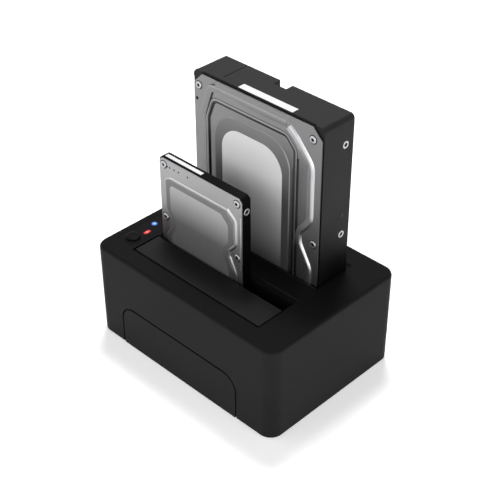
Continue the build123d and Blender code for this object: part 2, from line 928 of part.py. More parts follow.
def flap_spring(bay_y, angle):
    """Torsion spring wound in short straight steps round the hinge pin."""
    y = bay_y + hinge_y
    radius = hinge_pin_radius + spring_wire / 2 + 2 * hinge_clearance
    pitch = spring_wire * 1.6
    start = spring_x - pitch * spring_turns / 2
    points = []
    for step in range(spring_turns * spring_steps + 1):
        turn = 2 * math.pi * step / spring_steps
        along = start + pitch * step / spring_steps
        points.append((along, y + radius * math.cos(turn), hinge_z + radius * math.sin(turn)))
    path = Polyline(*points)
    section = Plane(origin=path @ 0, z_dir=path % 0) * Rectangle(spring_wire, spring_wire)
    coil = sweep(section, path, transition=Transition.RIGHT)
    return flap_turn(bay_y, angle) * coil


def drive_socket(bay_y):
    """Upright socket with two keyed slots for the tongues of a drive's plug."""
    plane = bay_y + plug_plane
    foot_half = plug_width / 2 + socket_foot_margin
    foot_x_span = (socket_centre_x - foot_half, socket_centre_x + foot_half)
    foot_y_span = (plane - socket_foot_half_depth, plane + socket_foot_half_depth)
    shoulder = floor_under - drive_floor_gap
    body = block(foot_x_span, foot_y_span, (board_top, shoulder))
    half = plug_width / 2 - plug_wing - wing_clearance
    top = drive_rest_z + socket_entry
    x = (socket_centre_x - half, socket_centre_x + half)
    body += block(x, (plane - socket_front_depth, plane + socket_rear_depth), (shoulder, top))
    bottom = drive_rest_z + plug_tongue_start - tongue_clearance
    for start, width in tongue_spans():
        body -= tongue(start, width, plane, (bottom, top + 1), tongue_clearance)
    return body


def tongue_spans():
    """Left edge and width of the signal and the power tongue."""
    return [(plug_left + signal_start, signal_width), (plug_left + power_start, power_width)]


def tongue(start, width, plane, z, margin):
    """Flat tongue with an L-shaped key at its outer end, grown by a margin."""
    half = tongue_thickness / 2 + margin
    flat = block((start - margin, start + width + margin), (plane - half, plane + half), z)
    key_x = (start - margin, start + key_width + margin)
    return flat + block(key_x, (plane, plane + tongue_thickness / 2 + key_depth + margin), z)


def contact_places():
    """Left edge of every contact on both tongues."""
    places = []
    for (start, width), count in zip(tongue_spans(), (signal_contacts, power_contacts)):
        first = start + key_width + (width - key_width - (count - 1) * contact_pitch) / 2
        places += [first + index * contact_pitch for index in range(count)]
    return places


def socket_contacts(bay_y):
    """Spring contacts along the front wall of a socket's slots."""
    front = bay_y + plug_plane - tongue_thickness / 2 - tongue_clearance
    y = (front, front + contact_thickness)
    z = (drive_rest_z + 1.0, drive_rest_z + socket_entry - 0.3)
    half = contact_width / 2
    return group([block((x - half, x + half), y, z) for x in contact_places()])


def drive_plug(bay_y, board_face):
    """Plug of a drive: base on the drive's board, two wings and two tongues."""
    plane = bay_y + plug_plane
    y = (plane - plug_front, board_face)
    base_z = drive_rest_z + plug_base_z
    x = (plug_left, plug_left + plug_width)
    plug = block(x, y, (base_z, base_z + plug_base_height))
    for wing_x in ((x[0], x[0] + plug_wing), (x[1] - plug_wing, x[1])):
        plug += block(wing_x, (plane - plug_front, plane + plug_back), (drive_rest_z + 0.3, base_z))
    for start, width in tongue_spans():
        plug += tongue(start, width, plane, (drive_rest_z + plug_tongue_start, base_z), 0)
    return plug


def plug_notch(bay_y, back):
    """Space cut from a drive's casting round its plug."""
    x = (plug_left - notch_clearance, plug_left + plug_width + notch_clearance)
    y = (bay_y + plug_plane - plug_front - notch_clearance, back + 1)
    return block(x, y, (drive_rest_z - 1, drive_rest_z + plug_base_z + plug_base_height + notch_clearance))


def drive_outline(width, height, radius, inset=0.0, left=0.0):
    """Front outline of a drive in x and z, with rounded corners."""
    centre = Pos(left + width / 2, drive_rest_z + height / 2)
    return centre * RectangleRounded(width - 2 * inset, height - 2 * inset, radius)


def moved(points, left):
    """Points given from a drive's lower left corner, moved to where it stands."""
    return [(left + x, drive_rest_z + z) for x, z in points]


def large_cover_outline(inset):
    """Cover outline with cut corners at the top."""
    low = inset
    right = large_width - inset
    high = large_height - inset
    cut = large_cover_cut
    points = [(low, low), (right, low)]
    points += [(right, high - cut), (right - cut, high), (low + cut, high), (low, high - cut)]
    return make_face(Polyline(*moved(points, large_left), close=True))


def large_screw_places():
    """Cover screws of the large drive, from its lower left corner."""
    left = 4.8
    right = large_width - 4.9
    high = large_height - 8.8
    return [(left, high), (right - 2.6, high), (right, 70.0), (left, 70.0), (left, 9.0), (right, 9.0)]


def large_plateau_outline():
    """Raised field of the cover, drawn in beside the right-hand screw."""
    width = large_width
    height = large_height
    points = [
        (10.5, 8.0),
        (10.5, height - 26.0),
        (15.0, height - 16.0),
        (19.0, height + 2.0),
        (width - 27.6, height + 2.0),
        (width - 24.0, height - 7.0),
        (width - 19.0, height - 10.5),
        (width - 6.2, height - 25.0),
        (width - 6.2, 84.0),
        (width - 14.4, 73.5),
        (width - 14.4, 67.0),
        (width - 6.0, 52.0),
        (width - 6.0, 20.0),
        (width - 13.6, 8.0),
    ]
    return rounded_shape(moved(points, large_left), [4, 5, 5, 2, 2, 5, 5, 6, 6, 4, 4, 6, 6, 4])


def large_drive_cover():
    """Stamped cover: flange, raised field and a sunk field with sloping walls."""
    back = large_front + large_plateau + large_sheet
    outline = large_cover_outline(large_cover_inset)
    cover = facing(outline, large_front + large_plateau, back)
    plane = Plane.XZ.offset(-(large_front + large_plateau))
    plateau = extrude(plane * large_plateau_outline(), large_plateau, taper=large_slope)
    cover += plateau & facing(outline, large_front - 1, back)
    plane = Plane.XZ.offset(-(large_front + large_pocket))
    cover -= extrude(plane * large_pocket_outline(), large_pocket + 0.2, taper=-pocket_slope)
    for x, z in moved(large_screw_places(), large_left):
        cover -= bar((x, back + 1, z), (0, -1, 0), cover_shank_radius + 0.1, large_sheet + 2, shank_sides)
    return cover + large_damping_plate()


def large_pocket_outline():
    """Floor of the sunk field in the large cover."""
    left = 14.0
    right = large_width - 20.8
    low = 13.0
    high = large_height - 14.6
    points = [(left, low), (left, high - 11.5), (left + 4.5, high)]
    points += [(right - 6.5, high), (right, high - 6.5), (right, low)]
    return rounded_shape(moved(points, large_left), [4, 4, 4, 4, 4, 4])


def large_damping_plate():
    """Arched plate bonded to the floor of the sunk field, under the label."""
    left = 18.0
    right = large_width - 23.3
    low = 15.0
    high = large_height - 19.0
    points = [(left, low), (left, high), (right, high), (right, low)]
    outline = rounded_shape(moved(points, large_left), [5, 18, 18, 5])
    depth = large_pocket - large_foil_sink
    return extrude(Plane.XZ.offset(-(large_front + large_pocket)) * outline, depth, taper=45)


def large_drive_gasket():
    """Dark seal between the cover and the casting."""
    outline = large_cover_outline(large_cover_inset + 0.5)
    gasket = facing(outline, large_seat - large_gasket, large_seat)
    for x, z in moved(large_screw_places(), large_left):
        gasket -= bar((x, large_seat + 1, z), (0, -1, 0), cover_shank_radius + 0.1, 3, shank_sides)
    return gasket


def large_drive_casting():
    """Cast body with side threads, board recess, plug notch and handling notch."""
    outline = drive_outline(large_width, large_height, large_corner, left=large_left)
    body = facing(outline, large_seat, large_back)
    top = drive_rest_z + large_height
    middle = large_left + large_width / 2
    notch_x = (middle - large_notch_width / 2, middle + large_notch_width / 2)
    notch_y = (large_back - large_notch_depth, large_back + 1)
    body -= block(notch_x, notch_y, (top - large_notch_height, top + 1))
    groove_x = large_left + large_groove_inset
    groove = (groove_x, groove_x + large_groove_width)
    body -= block(groove, (large_seat + 4.0, large_back + 1), (top - large_groove_width, top + 1))
    board_left = large_left + (large_width - large_board_width) / 2 - 0.3
    recess_x = (board_left, board_left + large_board_width + 0.6)
    recess_z = (drive_rest_z - 1, drive_rest_z + large_board_height + 0.3)
    body -= block(recess_x, (large_board_face, large_back + 1), recess_z)
    body -= plug_notch(bay_places["rear"], large_back)
    hole_y = large_back - large_side_hole_height
    for z in large_side_hole_z:
        for x, direction in ((large_left, (1, 0, 0)), (large_left + large_width, (-1, 0, 0))):
            body -= bar((x, hole_y, drive_rest_z + z), direction, large_hole_radius, large_hole_depth)
    for x, z in moved(large_screw_places(), large_left):
        body -= bar((x, large_seat - 1, z), (0, 1, 0), cover_shank_radius, cover_shank_length + 1, shank_sides)
    return body


def drive_board(left, width, board_width, board_height, thickness, face, screws):
    """Circuit board on the back of a drive, cut out round the plug."""
    start = left + (width - board_width) / 2
    z = (drive_rest_z + 0.5, drive_rest_z + board_height)
    board = block((start, start + board_width), (face, face + thickness), z)
    cut_x = (plug_left - notch_clearance, plug_left + plug_width + notch_clearance)
    board -= block(cut_x, (face - 1, face + thickness + 1), (z[0] - 1, drive_rest_z + plug_base_z))
    for x, height in screws:
        hole = (left + x, face - 1, drive_rest_z + height)
        board -= bar(hole, (0, 1, 0), small_screw_radius, thickness + 2, shank_sides)
    return board


def cover_screws(places, seat, length):
    """Cover screws: low heads on the flange and shanks into the casting."""
    radius = cover_shank_radius - 0.02
    screws = []
    for x, z in places:
        head = bar((x, seat, z), (0, -1, 0), cover_head_radius, cover_head_height, fine_sides)
        screws.append(head + bar((x, seat, z), (0, 1, 0), radius, length, shank_sides))
    return group(screws)


def large_drive_label():
    """Bare label on the damping plate of the large cover."""
    left = 24.2
    right = large_width - 29.1
    low = 20.0
    high = large_height - 26.5
    points = [(left, low), (left, high), (right, high), (right, low)]
    outline = rounded_shape(moved(points, large_left), [4, 15, 16, 4])
    front = large_front + large_foil_sink
    return facing(outline, front - label_thickness, front)


def end_label(left, first, length, front, depth, height):
    """Bare strip on the top end of a drive."""
    top = drive_rest_z + height
    return block((left + first, left + first + length), (front, front + depth), (top, top + label_thickness))


def small_screw_places():
    """Cover screws of the small drive, from its lower left corner."""
    left = 4.3
    right = small_width - 4.6
    return [
        (left, small_height - 4.7),
        (right, small_height - 4.6),
        (right, 58.2),
        (left, 58.2),
        (left, 12.0),
        (right, 12.0),
    ]


def small_drive_cover():
    """Thin stamped cover with a raised field drawn in beside the side screws."""
    flange = small_front + small_plateau
    back = flange + small_sheet
    outline = drive_outline(small_width, small_height, small_corner, small_cover_inset, small_left)
    cover = facing(outline, flange, back)
    right = small_width - 5.2
    high = small_height - 11.5
    points = [
        (4.0, 17.0),
        (4.0, 45.0),
        (9.0, 53.5),
        (9.0, 58.5),
        (4.0, 65.0),
        (4.0, high - 3.0),
        (10.0, high),
        (right - 6.5, high),
        (right, high - 5.0),
        (right, 66.5),
        (right - 5.3, 60.5),
        (right - 5.3, 56.5),
        (right, 46.0),
        (right, 17.0),
    ]
    radii = [3, 5, 3, 3, 4, 3, 3, 5, 4, 4, 3, 3, 5, 3]
    plane = Plane.XZ.offset(-flange)
    cover += extrude(plane * rounded_shape(moved(points, small_left), radii), small_plateau, taper=small_slope)
    for x, z in moved(small_screw_places(), small_left):
        cover -= bar((x, back + 1, z), (0, -1, 0), cover_shank_radius + 0.1, small_sheet + 2, shank_sides)
    return cover + facing(small_foil_outline(0.0), small_front - small_foil, small_front)


def small_foil_outline(inset):
    """Waisted outline of the foil bonded to the small cover, and of the label on it."""
    left = 5.9 + inset
    right = small_width - 7.6 - inset
    high = small_height - 13.0 - inset
    low = 19.0 + inset
    waist = 4.2
    points = [
        (left, low),
        (left, 46.4),
        (left + waist, 53.4),
        (left + waist, 60.0),
        (left, 66.0),
        (left, high),
        (right - 6.0, high),
        (right, high - 5.5),
        (right, 66.1),
        (right - waist, 60.6),
        (right - waist, 56.5),
        (right, 47.0),
        (right, low),
    ]
    radii = [2, 4, 3, 3, 4, 3, 4, 4, 3, 2, 3, 4, 2]
    return rounded_shape(moved(points, small_left), radii)


def small_drive_gasket():
    """Dark seal between the small cover and its casting."""
    inset = small_cover_inset + 0.4
    x = (small_left + inset, small_left + small_width - inset)
    z = (drive_rest_z + inset, drive_rest_z + small_height - inset)
    gasket = block(x, (small_seat - small_gasket, small_seat), z)
    gasket = chamfer(gasket.edges().filter_by(Axis.Y), small_corner / 2)
    for x, z in moved(small_screw_places(), small_left):
        gasket -= bar((x, small_seat + 1, z), (0, -1, 0), cover_shank_radius + 0.1, 3, shank_sides)
    return gasket


def small_drive_casting():
    """Thin cast body with side threads, board recess and plug notch."""
    outline = drive_outline(small_width, small_height, small_corner, left=small_left)
    body = facing(outline, small_seat, small_back)
    board_left = small_left + (small_width - small_board_width) / 2 - 0.3
    recess_x = (board_left, board_left + small_board_width + 0.6)
    recess_z = (drive_rest_z - 1, drive_rest_z + small_board_height + 0.3)
    body -= block(recess_x, (small_board_face, small_back + 1), recess_z)
    body -= plug_notch(bay_places["front"], small_back)
    hole_y = small_back - small_side_hole_height
    for z in small_side_hole_z:
        for x, direction in ((small_left, (1, 0, 0)), (small_left + small_width, (-1, 0, 0))):
            body -= bar((x, hole_y, drive_rest_z + z), direction, small_hole_radius, small_hole_depth)
    for x, z in moved(small_screw_places(), small_left):
        body -= bar((x, small_seat - 1, z), (0, 1, 0), cover_shank_radius, cover_shank_length + 1, shank_sides)
    return body


def small_drive_label():
    """Bare label on the damping foil of the small cover."""
    front = small_front - small_foil
    return facing(small_foil_outline(3.6), front - label_thickness, front)


def usb_socket_shell():
    """Metal shell of the data socket, open to the back."""
    rear = outer_rear_y - port_recess
    x = (usb_x - usb_width / 2, usb_x + usb_width / 2)
    shell = block(x, (rear - usb_depth, rear), (board_top, board_top + usb_height))
    return shell - facing(usb_mouth(), rear - usb_cavity, rear + 1)


def usb_socket_core():
    """The two insulating tongues in the data socket."""
    rear = outer_rear_y - port_recess
    half = usb_tongue_width / 2
    middle = board_top + usb_rim + usb_mouth_height / 2
    y = (rear - usb_cavity, rear - socket_inner_setback)
    z = (middle - usb_tongue_height / 2, middle + usb_tongue_height / 2)
    lower = block((usb_x - half, usb_x + half), y, z)
    upper_z = board_top + usb_rim + usb_mouth_height + usb_upper_height / 2
    half = usb_upper_width / 2 - 0.6
    z = (upper_z - usb_upper_tongue / 2, upper_z + usb_upper_tongue / 2)
    return group([lower, block((usb_x - half, usb_x + half), y, z)])


def power_socket():
    """Power inlet with a round collar and a blind bore."""
    rear = outer_rear_y - port_recess
    x = (jack_x - jack_width / 2, jack_x + jack_width / 2)
    inner = outer_rear_y - wall - port_gap
    body = block(x, (rear - jack_depth, inner), (board_top, board_top + jack_height))
    centre_z = board_top + jack_height / 2
    body += bar((jack_x, inner - 1, centre_z), (0, 1, 0), jack_collar_radius, rear - inner + 1, round_sides)
    return body - rod((jack_x, rear + 1, centre_z), (0, -1, 0), jack_bore_radius, jack_bore_depth + 1)


def power_socket_pin():
    """Centre pin of the power inlet."""
    rear = outer_rear_y - port_recess
    start = (jack_x, rear - jack_bore_depth, board_top + jack_height / 2)
    return bar(start, (0, 1, 0), jack_pin_radius, jack_bore_depth - socket_inner_setback, fine_sides)


def power_switch_frame():
    """Frame of the power switch, clipped into the rear wall."""
    half_x = rocker_frame_width / 2
    half_z = rocker_frame_height / 2
    x = (rocker_x - half_x, rocker_x + half_x)
    z = (rocker_z - half_z, rocker_z + half_z)
    seat = outer_rear_y - rocker_recess
    face = seat + rocker_bezel_depth
    frame = block(x, (outer_rear_y - rocker_frame_depth, face), z)
    bezel_x = (x[0] - rocker_bezel, x[1] + rocker_bezel)
    bezel_z = (z[0] - rocker_bezel, z[1] + rocker_bezel)
    frame += block(bezel_x, (seat, face), bezel_z)
    half_x = rocker_cavity_width / 2
    half_z = rocker_cavity_height / 2
    x = (rocker_x - half_x, rocker_x + half_x)
    z = (rocker_z - half_z, rocker_z + half_z)
    frame -= block(x, (outer_rear_y - rocker_cavity_depth, face + 1), z)
    start = (rocker_x - rocker_frame_width / 2 - 1, rocker_pivot_y, rocker_z)
    return frame - rod(start, (1, 0, 0), rocker_pivot_radius + hinge_clearance, rocker_frame_width + 2)


def power_switch_rocker():
    """Rocker with a hollow face, lying on one side of its travel."""
    half = rocker_half_length
    crown = rocker_crown
    face = [(crown, -half), (crown - rocker_hollow, 0.0), (crown, half)]
    back = [(0.5, half - 0.6), (-rocker_root, 1.8), (-rocker_root, -1.8), (0.5, 0.6 - half)]
    outline = make_face(Polyline(*face, *back, close=True))
    width = rocker_cavity_width - 2 * rocker_gap
    rocker = extrude(Plane.YZ.offset(-width / 2) * outline, width)
    stub = width / 2 + rocker_gap + (rocker_frame_width - rocker_cavity_width) / 2 - 0.1
    rocker += rod((-stub, 0, 0), (1, 0, 0), rocker_pivot_radius, 2 * stub)
    return Pos(rocker_x, rocker_pivot_y, rocker_z) * Rot(rocker_angle, 0, 0) * rocker


def panel_board_screws():
    """Screws that hold the panel board under the roof."""
    seats = [(x, y, panel_board_under) for x, y in panel_screw_places]
    return small_screws(seats, (0, 0, 1), panel_screw_length)


def board_screws():
    """Screws that hold the main board on its standoffs."""
    seats = [(x, y, board_top) for x, y in board_screw_places()]
    return small_screws(seats, (0, 0, -1), small_screw_length)


def drive_board_screws(left, screws, board_back, length):
    """Screws that hold a drive's board, heads outwards."""
    pieces = []
    for x, z in screws:
        seat = (left + x, board_back, drive_rest_z + z)
        radius = small_screw_radius - 0.1
        inwards = (0, -1, 0)
        pieces.append(pan_screw(seat, inwards, board_head_radius, board_head_height, radius, length, plain_sides))
    return group(pieces)


def drilled_for_board(casting, left, screws, face, depth):
    """Casting with blind holes for the board screws."""
    for x, z in screws:
        hole = (left + x, face, drive_rest_z + z)
        casting -= bar(hole, (0, -1, 0), small_screw_radius - 0.1, depth, shank_sides)
    return casting


def large_cover_screws():
    """Screws of the large cover."""
    places = moved(large_screw_places(), large_left)
    return cover_screws(places, large_front + large_plateau, cover_shank_length)


def small_cover_screws():
    """Screws of the small cover."""
    places = moved(small_screw_places(), small_left)
    return cover_screws(places, small_front + small_plateau, cover_shank_length)


def large_end_strip():
    """Bare strip on the end of the large drive."""
    first = large_width / 2 - 16.1
    front = large_front + large_end_label_back
    return end_label(large_left, first, large_end_label, front, large_end_label_depth, large_height)


def small_end_strip():
    """Bare strip on the end of the small drive."""
    front = small_front + small_end_label_back
    return end_label(small_left, 3.6, small_end_label, front, small_end_label_depth, small_height)


def large_board():
    """Circuit board of the large drive."""
    size = (large_board_width, large_board_height, large_board_thickness)
    return drive_board(large_left, large_width, *size, large_board_face, large_board_screws)


def small_board():
    """Circuit board of the small drive."""
    size = (small_board_width, small_board_height, small_board_thickness)
    return drive_board(small_left, small_width, *size, small_board_face, small_board_screws)


def build():
    """Every piece by the name of its node."""
    front = bay_places["front"]
    rear = bay_places["rear"]
    large_casting = large_drive_casting()
    large_casting = drilled_for_board(large_casting, large_left, large_board_screws, large_board_face, 4.0)
    small_casting = small_drive_casting()
    small_casting = drilled_for_board(small_casting, small_left, small_board_screws, small_board_face, 2.5)
    return {
        "upper_housing": upper_housing(),
        "base_plate": base_plate(),
        "rubber_feet": rubber_feet(),
        "case_screws": case_screws(),
        "front_panel": front_panel(),
        "control_plate": control_plate(),
        "clone_button": clone_button(),
        "clone_switch": clone_switch(),
        "clone_switch_plunger": clone_switch_plunger(),
        "power_light_pipe": power_light_pipe(),
        "activity_light_pipe": activity_light_pipe(),
        "power_lamp": lamp(power_light_x, power_light_y),
        "activity_lamp": lamp(activity_x, activity_y),
        "panel_board": panel_board(),
        "panel_board_screws": panel_board_screws(),
        "ribbon_headers": ribbon_headers(),
        "panel_ribbon": panel_ribbon(),
        "front_bay_liner": bay_liner(front),
        "rear_bay_liner": bay_liner(rear),
        "liner_screws": liner_screws(),
        "front_bay_flap": flap(front, 0.0),
        "rear_bay_flap": flap(rear, folded_angle),
        "front_hinge_pin": hinge_pin(front),
        "rear_hinge_pin": hinge_pin(rear),
        "front_flap_spring": flap_spring(front, 0.0),
        "rear_flap_spring": flap_spring(rear, folded_angle),
        "main_board": main_board(),
        "board_screws": board_screws(),
        "bridge_chips": bridge_chips(),
        "power_inductors": power_inductors(),
        "power_capacitors": power_capacitors(),
        "clock_crystal": clock_crystal(),
        "front_drive_socket": drive_socket(front),
        "rear_drive_socket": drive_socket(rear),
        "front_socket_contacts": socket_contacts(front),
        "rear_socket_contacts": socket_contacts(rear),
        "usb_socket_shell": usb_socket_shell(),
        "usb_socket_core": usb_socket_core(),
        "power_socket": power_socket(),
        "power_socket_pin": power_socket_pin(),
        "power_switch_frame": power_switch_frame(),
        "power_switch_rocker": power_switch_rocker(),
        "large_drive_casting": large_casting,
        "large_drive_cover": large_drive_cover(),
        "large_drive_gasket": large_drive_gasket(),
        "large_drive_cover_screws": large_cover_screws(),
        "large_drive_label": large_drive_label(),
        "large_drive_end_label": large_end_strip(),
        "large_drive_board": large_board(),
        "large_drive_board_screws": drive_board_screws(large_left, large_board_screws, large_board_back, 4.5),
        "large_drive_plug": drive_plug(rear, large_board_face),
        "small_drive_casting": small_casting,
        "small_drive_cover": small_drive_cover(),
        "small_drive_gasket": small_drive_gasket(),
        "small_drive_cover_screws": small_cover_screws(),
        "small_drive_label": small_drive_label(),
        "small_drive_end_label": small_end_strip(),
        "small_drive_board": small_board(),
        "small_drive_board_screws": drive_board_screws(small_left, small_board_screws, small_board_back, 2.6),
        "small_drive_plug": drive_plug(front, small_board_face),
    }


os.makedirs("parts", exist_ok=True)
for node, shape in build().items():
    export_step(shape, f"parts/{node}.step")
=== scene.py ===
import json
import math

import bmesh
import bpy
from mathutils import Matrix, Vector


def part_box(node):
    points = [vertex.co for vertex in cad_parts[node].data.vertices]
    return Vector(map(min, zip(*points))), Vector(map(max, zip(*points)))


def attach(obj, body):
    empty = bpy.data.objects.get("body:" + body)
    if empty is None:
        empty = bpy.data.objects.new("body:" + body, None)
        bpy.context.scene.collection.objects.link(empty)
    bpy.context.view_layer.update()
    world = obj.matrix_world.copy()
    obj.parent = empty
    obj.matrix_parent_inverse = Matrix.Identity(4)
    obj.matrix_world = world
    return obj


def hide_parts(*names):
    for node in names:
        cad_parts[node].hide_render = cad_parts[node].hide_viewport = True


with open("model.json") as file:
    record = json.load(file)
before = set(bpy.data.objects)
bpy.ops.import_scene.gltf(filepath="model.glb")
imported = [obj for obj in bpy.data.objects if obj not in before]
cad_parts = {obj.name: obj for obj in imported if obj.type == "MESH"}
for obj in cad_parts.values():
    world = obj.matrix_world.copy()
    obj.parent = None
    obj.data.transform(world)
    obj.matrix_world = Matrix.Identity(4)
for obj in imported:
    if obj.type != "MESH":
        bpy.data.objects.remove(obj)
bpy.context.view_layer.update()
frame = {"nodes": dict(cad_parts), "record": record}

# Camera, fitted to the photograph. Lengths in metres, angles in degrees.
camera_azimuth = 44.443
camera_elevation = 36.021
camera_distance = 0.742555
camera_across = 0.003997
camera_upward = 0.05666
camera_lift = 0.001
camera_lens = 84.063
camera_sensor = 36.0
camera_near = 0.01
camera_far = 20.0

# Floor, lamps and sky. The floor glows more from glow_near to glow_far, measured from its middle.
floor_size = 16.0
floor_glow = 0.43
glow_near = 0.5
glow_far = 1.3
lamp_target = (0, 0, 0.06)
key_place = (-1.0, -1.3, 0.55)
key_size = (2.2, 0.9)
key_power = 14.0
fill_place = (1.35, -0.35, 0.55)
fill_size = (1.8, 0.9)
fill_power = 14.0
top_place = (-0.32, 0.38, 1.42)
top_size = (0.32, 0.32)
top_power = 14.5
horizon_strength = 0.6
zenith_strength = 0.08
zenith_height = 0.8

# Tones on the drives, painted light above and painted shade below, follow a height that rises by this share
# of the way backwards
drive_slant = 0.66

# Nodes that don't have the finish of their slot
own_finishes = {"small_drive_cover": "small_cover_metal", "small_drive_casting": "small_casting_coat"}

# Ways out of the drives' faces
forwards = (0, -1, 0)
leftwards = (-1, 0, 0)
rightwards = (1, 0, 0)

# Fineness of round forms: angle between the points of an arc in radians, sides of each turned form,
# and the angles in degrees above which an edge stays sharp
arc_step = 0.2
head_sides = 36
bush_sides = 32
pin_sides = 24
hole_sides = 20
sharp_angle = 35
strip_sharp_angle = 60

# Strip of painted shade for the gap round the front bay's opening, beside the flap's stop ears and its gap
flap_ear_length = 0.0012
flap_edge_gap = 0.00045
bay_shade_width = 0.0007
bay_shade_depth = 0.0004
bay_shade_rise = 0.00002

# Cover screws. The sections are pairs of a share of the radius and a share of the head's height. Points
# of a head's front lie closer together than head_spacing, those of two heads further apart.
screw_head_radius = 0.0023
screw_head_height = 0.0006
socket_radius = 0.00105
socket_lobe_count = 6
socket_lobe_depth = 0.14
socket_section = [(0.9, 0.25), (1.0, 0.3), (1.0, 0.92)]
head_section = [(0.62, 1.0), (0.78, 0.98), (0.93, 0.8), (1.0, 0.45), (1.0, 0.0)]
# Near-black painted shade fills each socket below its rim, and a ring of painted shadow lies round each
# head's seat
socket_shade_section = [(1.02, 0.5), (1.02, 0.1)]
seat_shade_section = [(1.0, 0.0), (1.0, 0.05), (1.2, 0.05), (1.2, 0.0)]
head_plane_tolerance = 0.0001
head_spacing = 0.006

# Bushes in the side holes, by their heights above the drive's foot and their way from its back
bush_outer = 0.0023
bush_inner = 0.00125
bush_depth = 0.0016
bush_rise = 0.0001
bush_mouth_share = 1.15
bush_edge_share = 0.92
large_bush_heights = (0.0285, 0.0701, 0.1301)
large_bush_back = 0.00635
pin_hole_heights = (0.0835,)
pin_hole_share = 0.45
small_bush_heights = (0.014, 0.0906)
small_bush_back = 0.003

# Pin at the large drive's upper left corner. The sections are pairs of radius and way out of the side.
pin_from_front = 0.0028
pin_below_top = 0.0042
pin_section = [(0.0009, 0.0022), (0.0013, 0.0019), (0.0013, 0.0004)]
pin_seat_section = [(0.0021, 0.0012), (0.0024, 0.0009), (0.0024, -0.0006)]

# Strip of painted shadow on the casting's top behind the large cover's upper edge, by the gasket
gasket_shadow_inset = 0.006
gasket_shadow_width = 0.0014
gasket_shadow_depth = 0.0002
gasket_shadow_rise = 0.00004

# Small holes in the covers' flanges, flat discs of painted shade, which lie this far behind the raised
# fields
hole_rise = 0.00003
large_flange_step = 0.0009
large_hole_ways = [(0.003, -0.018)]
large_hole_radius = 0.0011
small_flange_step = 0.00065
small_hole_row = -0.005
small_hole_ways = [(across, small_hole_row) for across in (0.0072, 0.0095, 0.0133, 0.0170, 0.0247)]
small_hole_radius = 0.0006

# Foils round the labels
foil_lift = 0.00002
large_foil_step = 0.0001

# Outlines on a drive's face: corners by their way across, their way up and their radius. A negative way
# counts from the drive's right or upper edge, any other from its left or lower edge.
large_foil_left = 0.0185
large_foil_right = -0.0238
large_foil_foot = 0.0155
large_foil_top = -0.0195
large_foil_outline = [
    (large_foil_left, large_foil_foot, 0.005),
    (large_foil_left, large_foil_top, 0.018),
    (large_foil_right, large_foil_top, 0.018),
    (large_foil_right, large_foil_foot, 0.005),
]
large_ridge_flank = -0.0066
large_ridge_waist = -0.0148
large_ridge_foot = -0.0064
large_ridge = [
    (-0.0243, -0.0068, 0),
    (-0.0192, -0.0108, 0.006),
    (large_ridge_flank, -0.0252, 0.012),
    (large_ridge_flank, 0.0842, 0.012),
    (large_ridge_waist, 0.0737, 0.008),
    (large_ridge_waist, 0.0669, 0.010),
    (large_ridge_foot, 0.0519, 0.012),
    (large_ridge_foot, 0.0205, 0.012),
    (-0.0140, 0.0084, 0),
]
pocket_left = 0.0131
pocket_right = -0.0199
pocket_top = -0.0137
pocket_foot = 0.012
pocket_radius = 0.004
pocket_edge = [
    (pocket_left, pocket_foot, 0),
    (pocket_left, -0.0262, pocket_radius),
    (0.0179, pocket_top, pocket_radius),
    (-0.0268, pocket_top, pocket_radius),
    (pocket_right, -0.0208, pocket_radius),
    (pocket_right, pocket_foot, 0),
]
# Flat band of painted shade down the cover's right side, outside the pocket
shade_band_way = -0.0176
shade_band = [(shade_band_way, -0.0245, 0), (shade_band_way, 0.013, 0)]
top_roll_way = -0.0058
top_roll = [(0.0075, 0.121, 0), (0.0145, top_roll_way, 0.004), (-0.0262, top_roll_way, 0)]
small_foil_left = 0.0061
small_foil_right = -0.0078
small_foil_foot = 0.0192
small_foil_top = -0.0132
small_foil_waist = 0.0042
small_foil_outline = [
    (small_foil_left, small_foil_foot, 0.002),
    (small_foil_left, 0.0464, 0.004),
    (small_foil_left + small_foil_waist, 0.0534, 0.003),
    (small_foil_left + small_foil_waist, 0.0600, 0.003),
    (small_foil_left, 0.0660, 0.004),
    (small_foil_left, small_foil_top, 0.003),
    (small_foil_right - 0.006, small_foil_top, 0.004),
    (small_foil_right, small_foil_top - 0.0055, 0.004),
    (small_foil_right, 0.0661, 0.003),
    (small_foil_right - small_foil_waist, 0.0606, 0.002),
    (small_foil_right - small_foil_waist, 0.0565, 0.003),
    (small_foil_right, 0.0470, 0.004),
    (small_foil_right, small_foil_foot, 0.002),
]
small_ridge_flank = -0.0055
small_ridge_waist = small_ridge_flank - 0.0053
small_ridge = [
    (small_ridge_flank - 0.0068, -0.0117, 0),
    (small_ridge_flank, -0.0167, 0.004),
    (small_ridge_flank, 0.0665, 0.004),
    (small_ridge_waist, 0.0605, 0.003),
    (small_ridge_waist, 0.0565, 0.003),
    (small_ridge_flank, 0.0460, 0.005),
    (small_ridge_flank, 0.0180, 0),
]
small_ridge_step = 0.00015
small_rim_way = -0.0018
small_rim = [(small_rim_way, -0.0125, 0), (small_rim_way, 0.050, 0)]

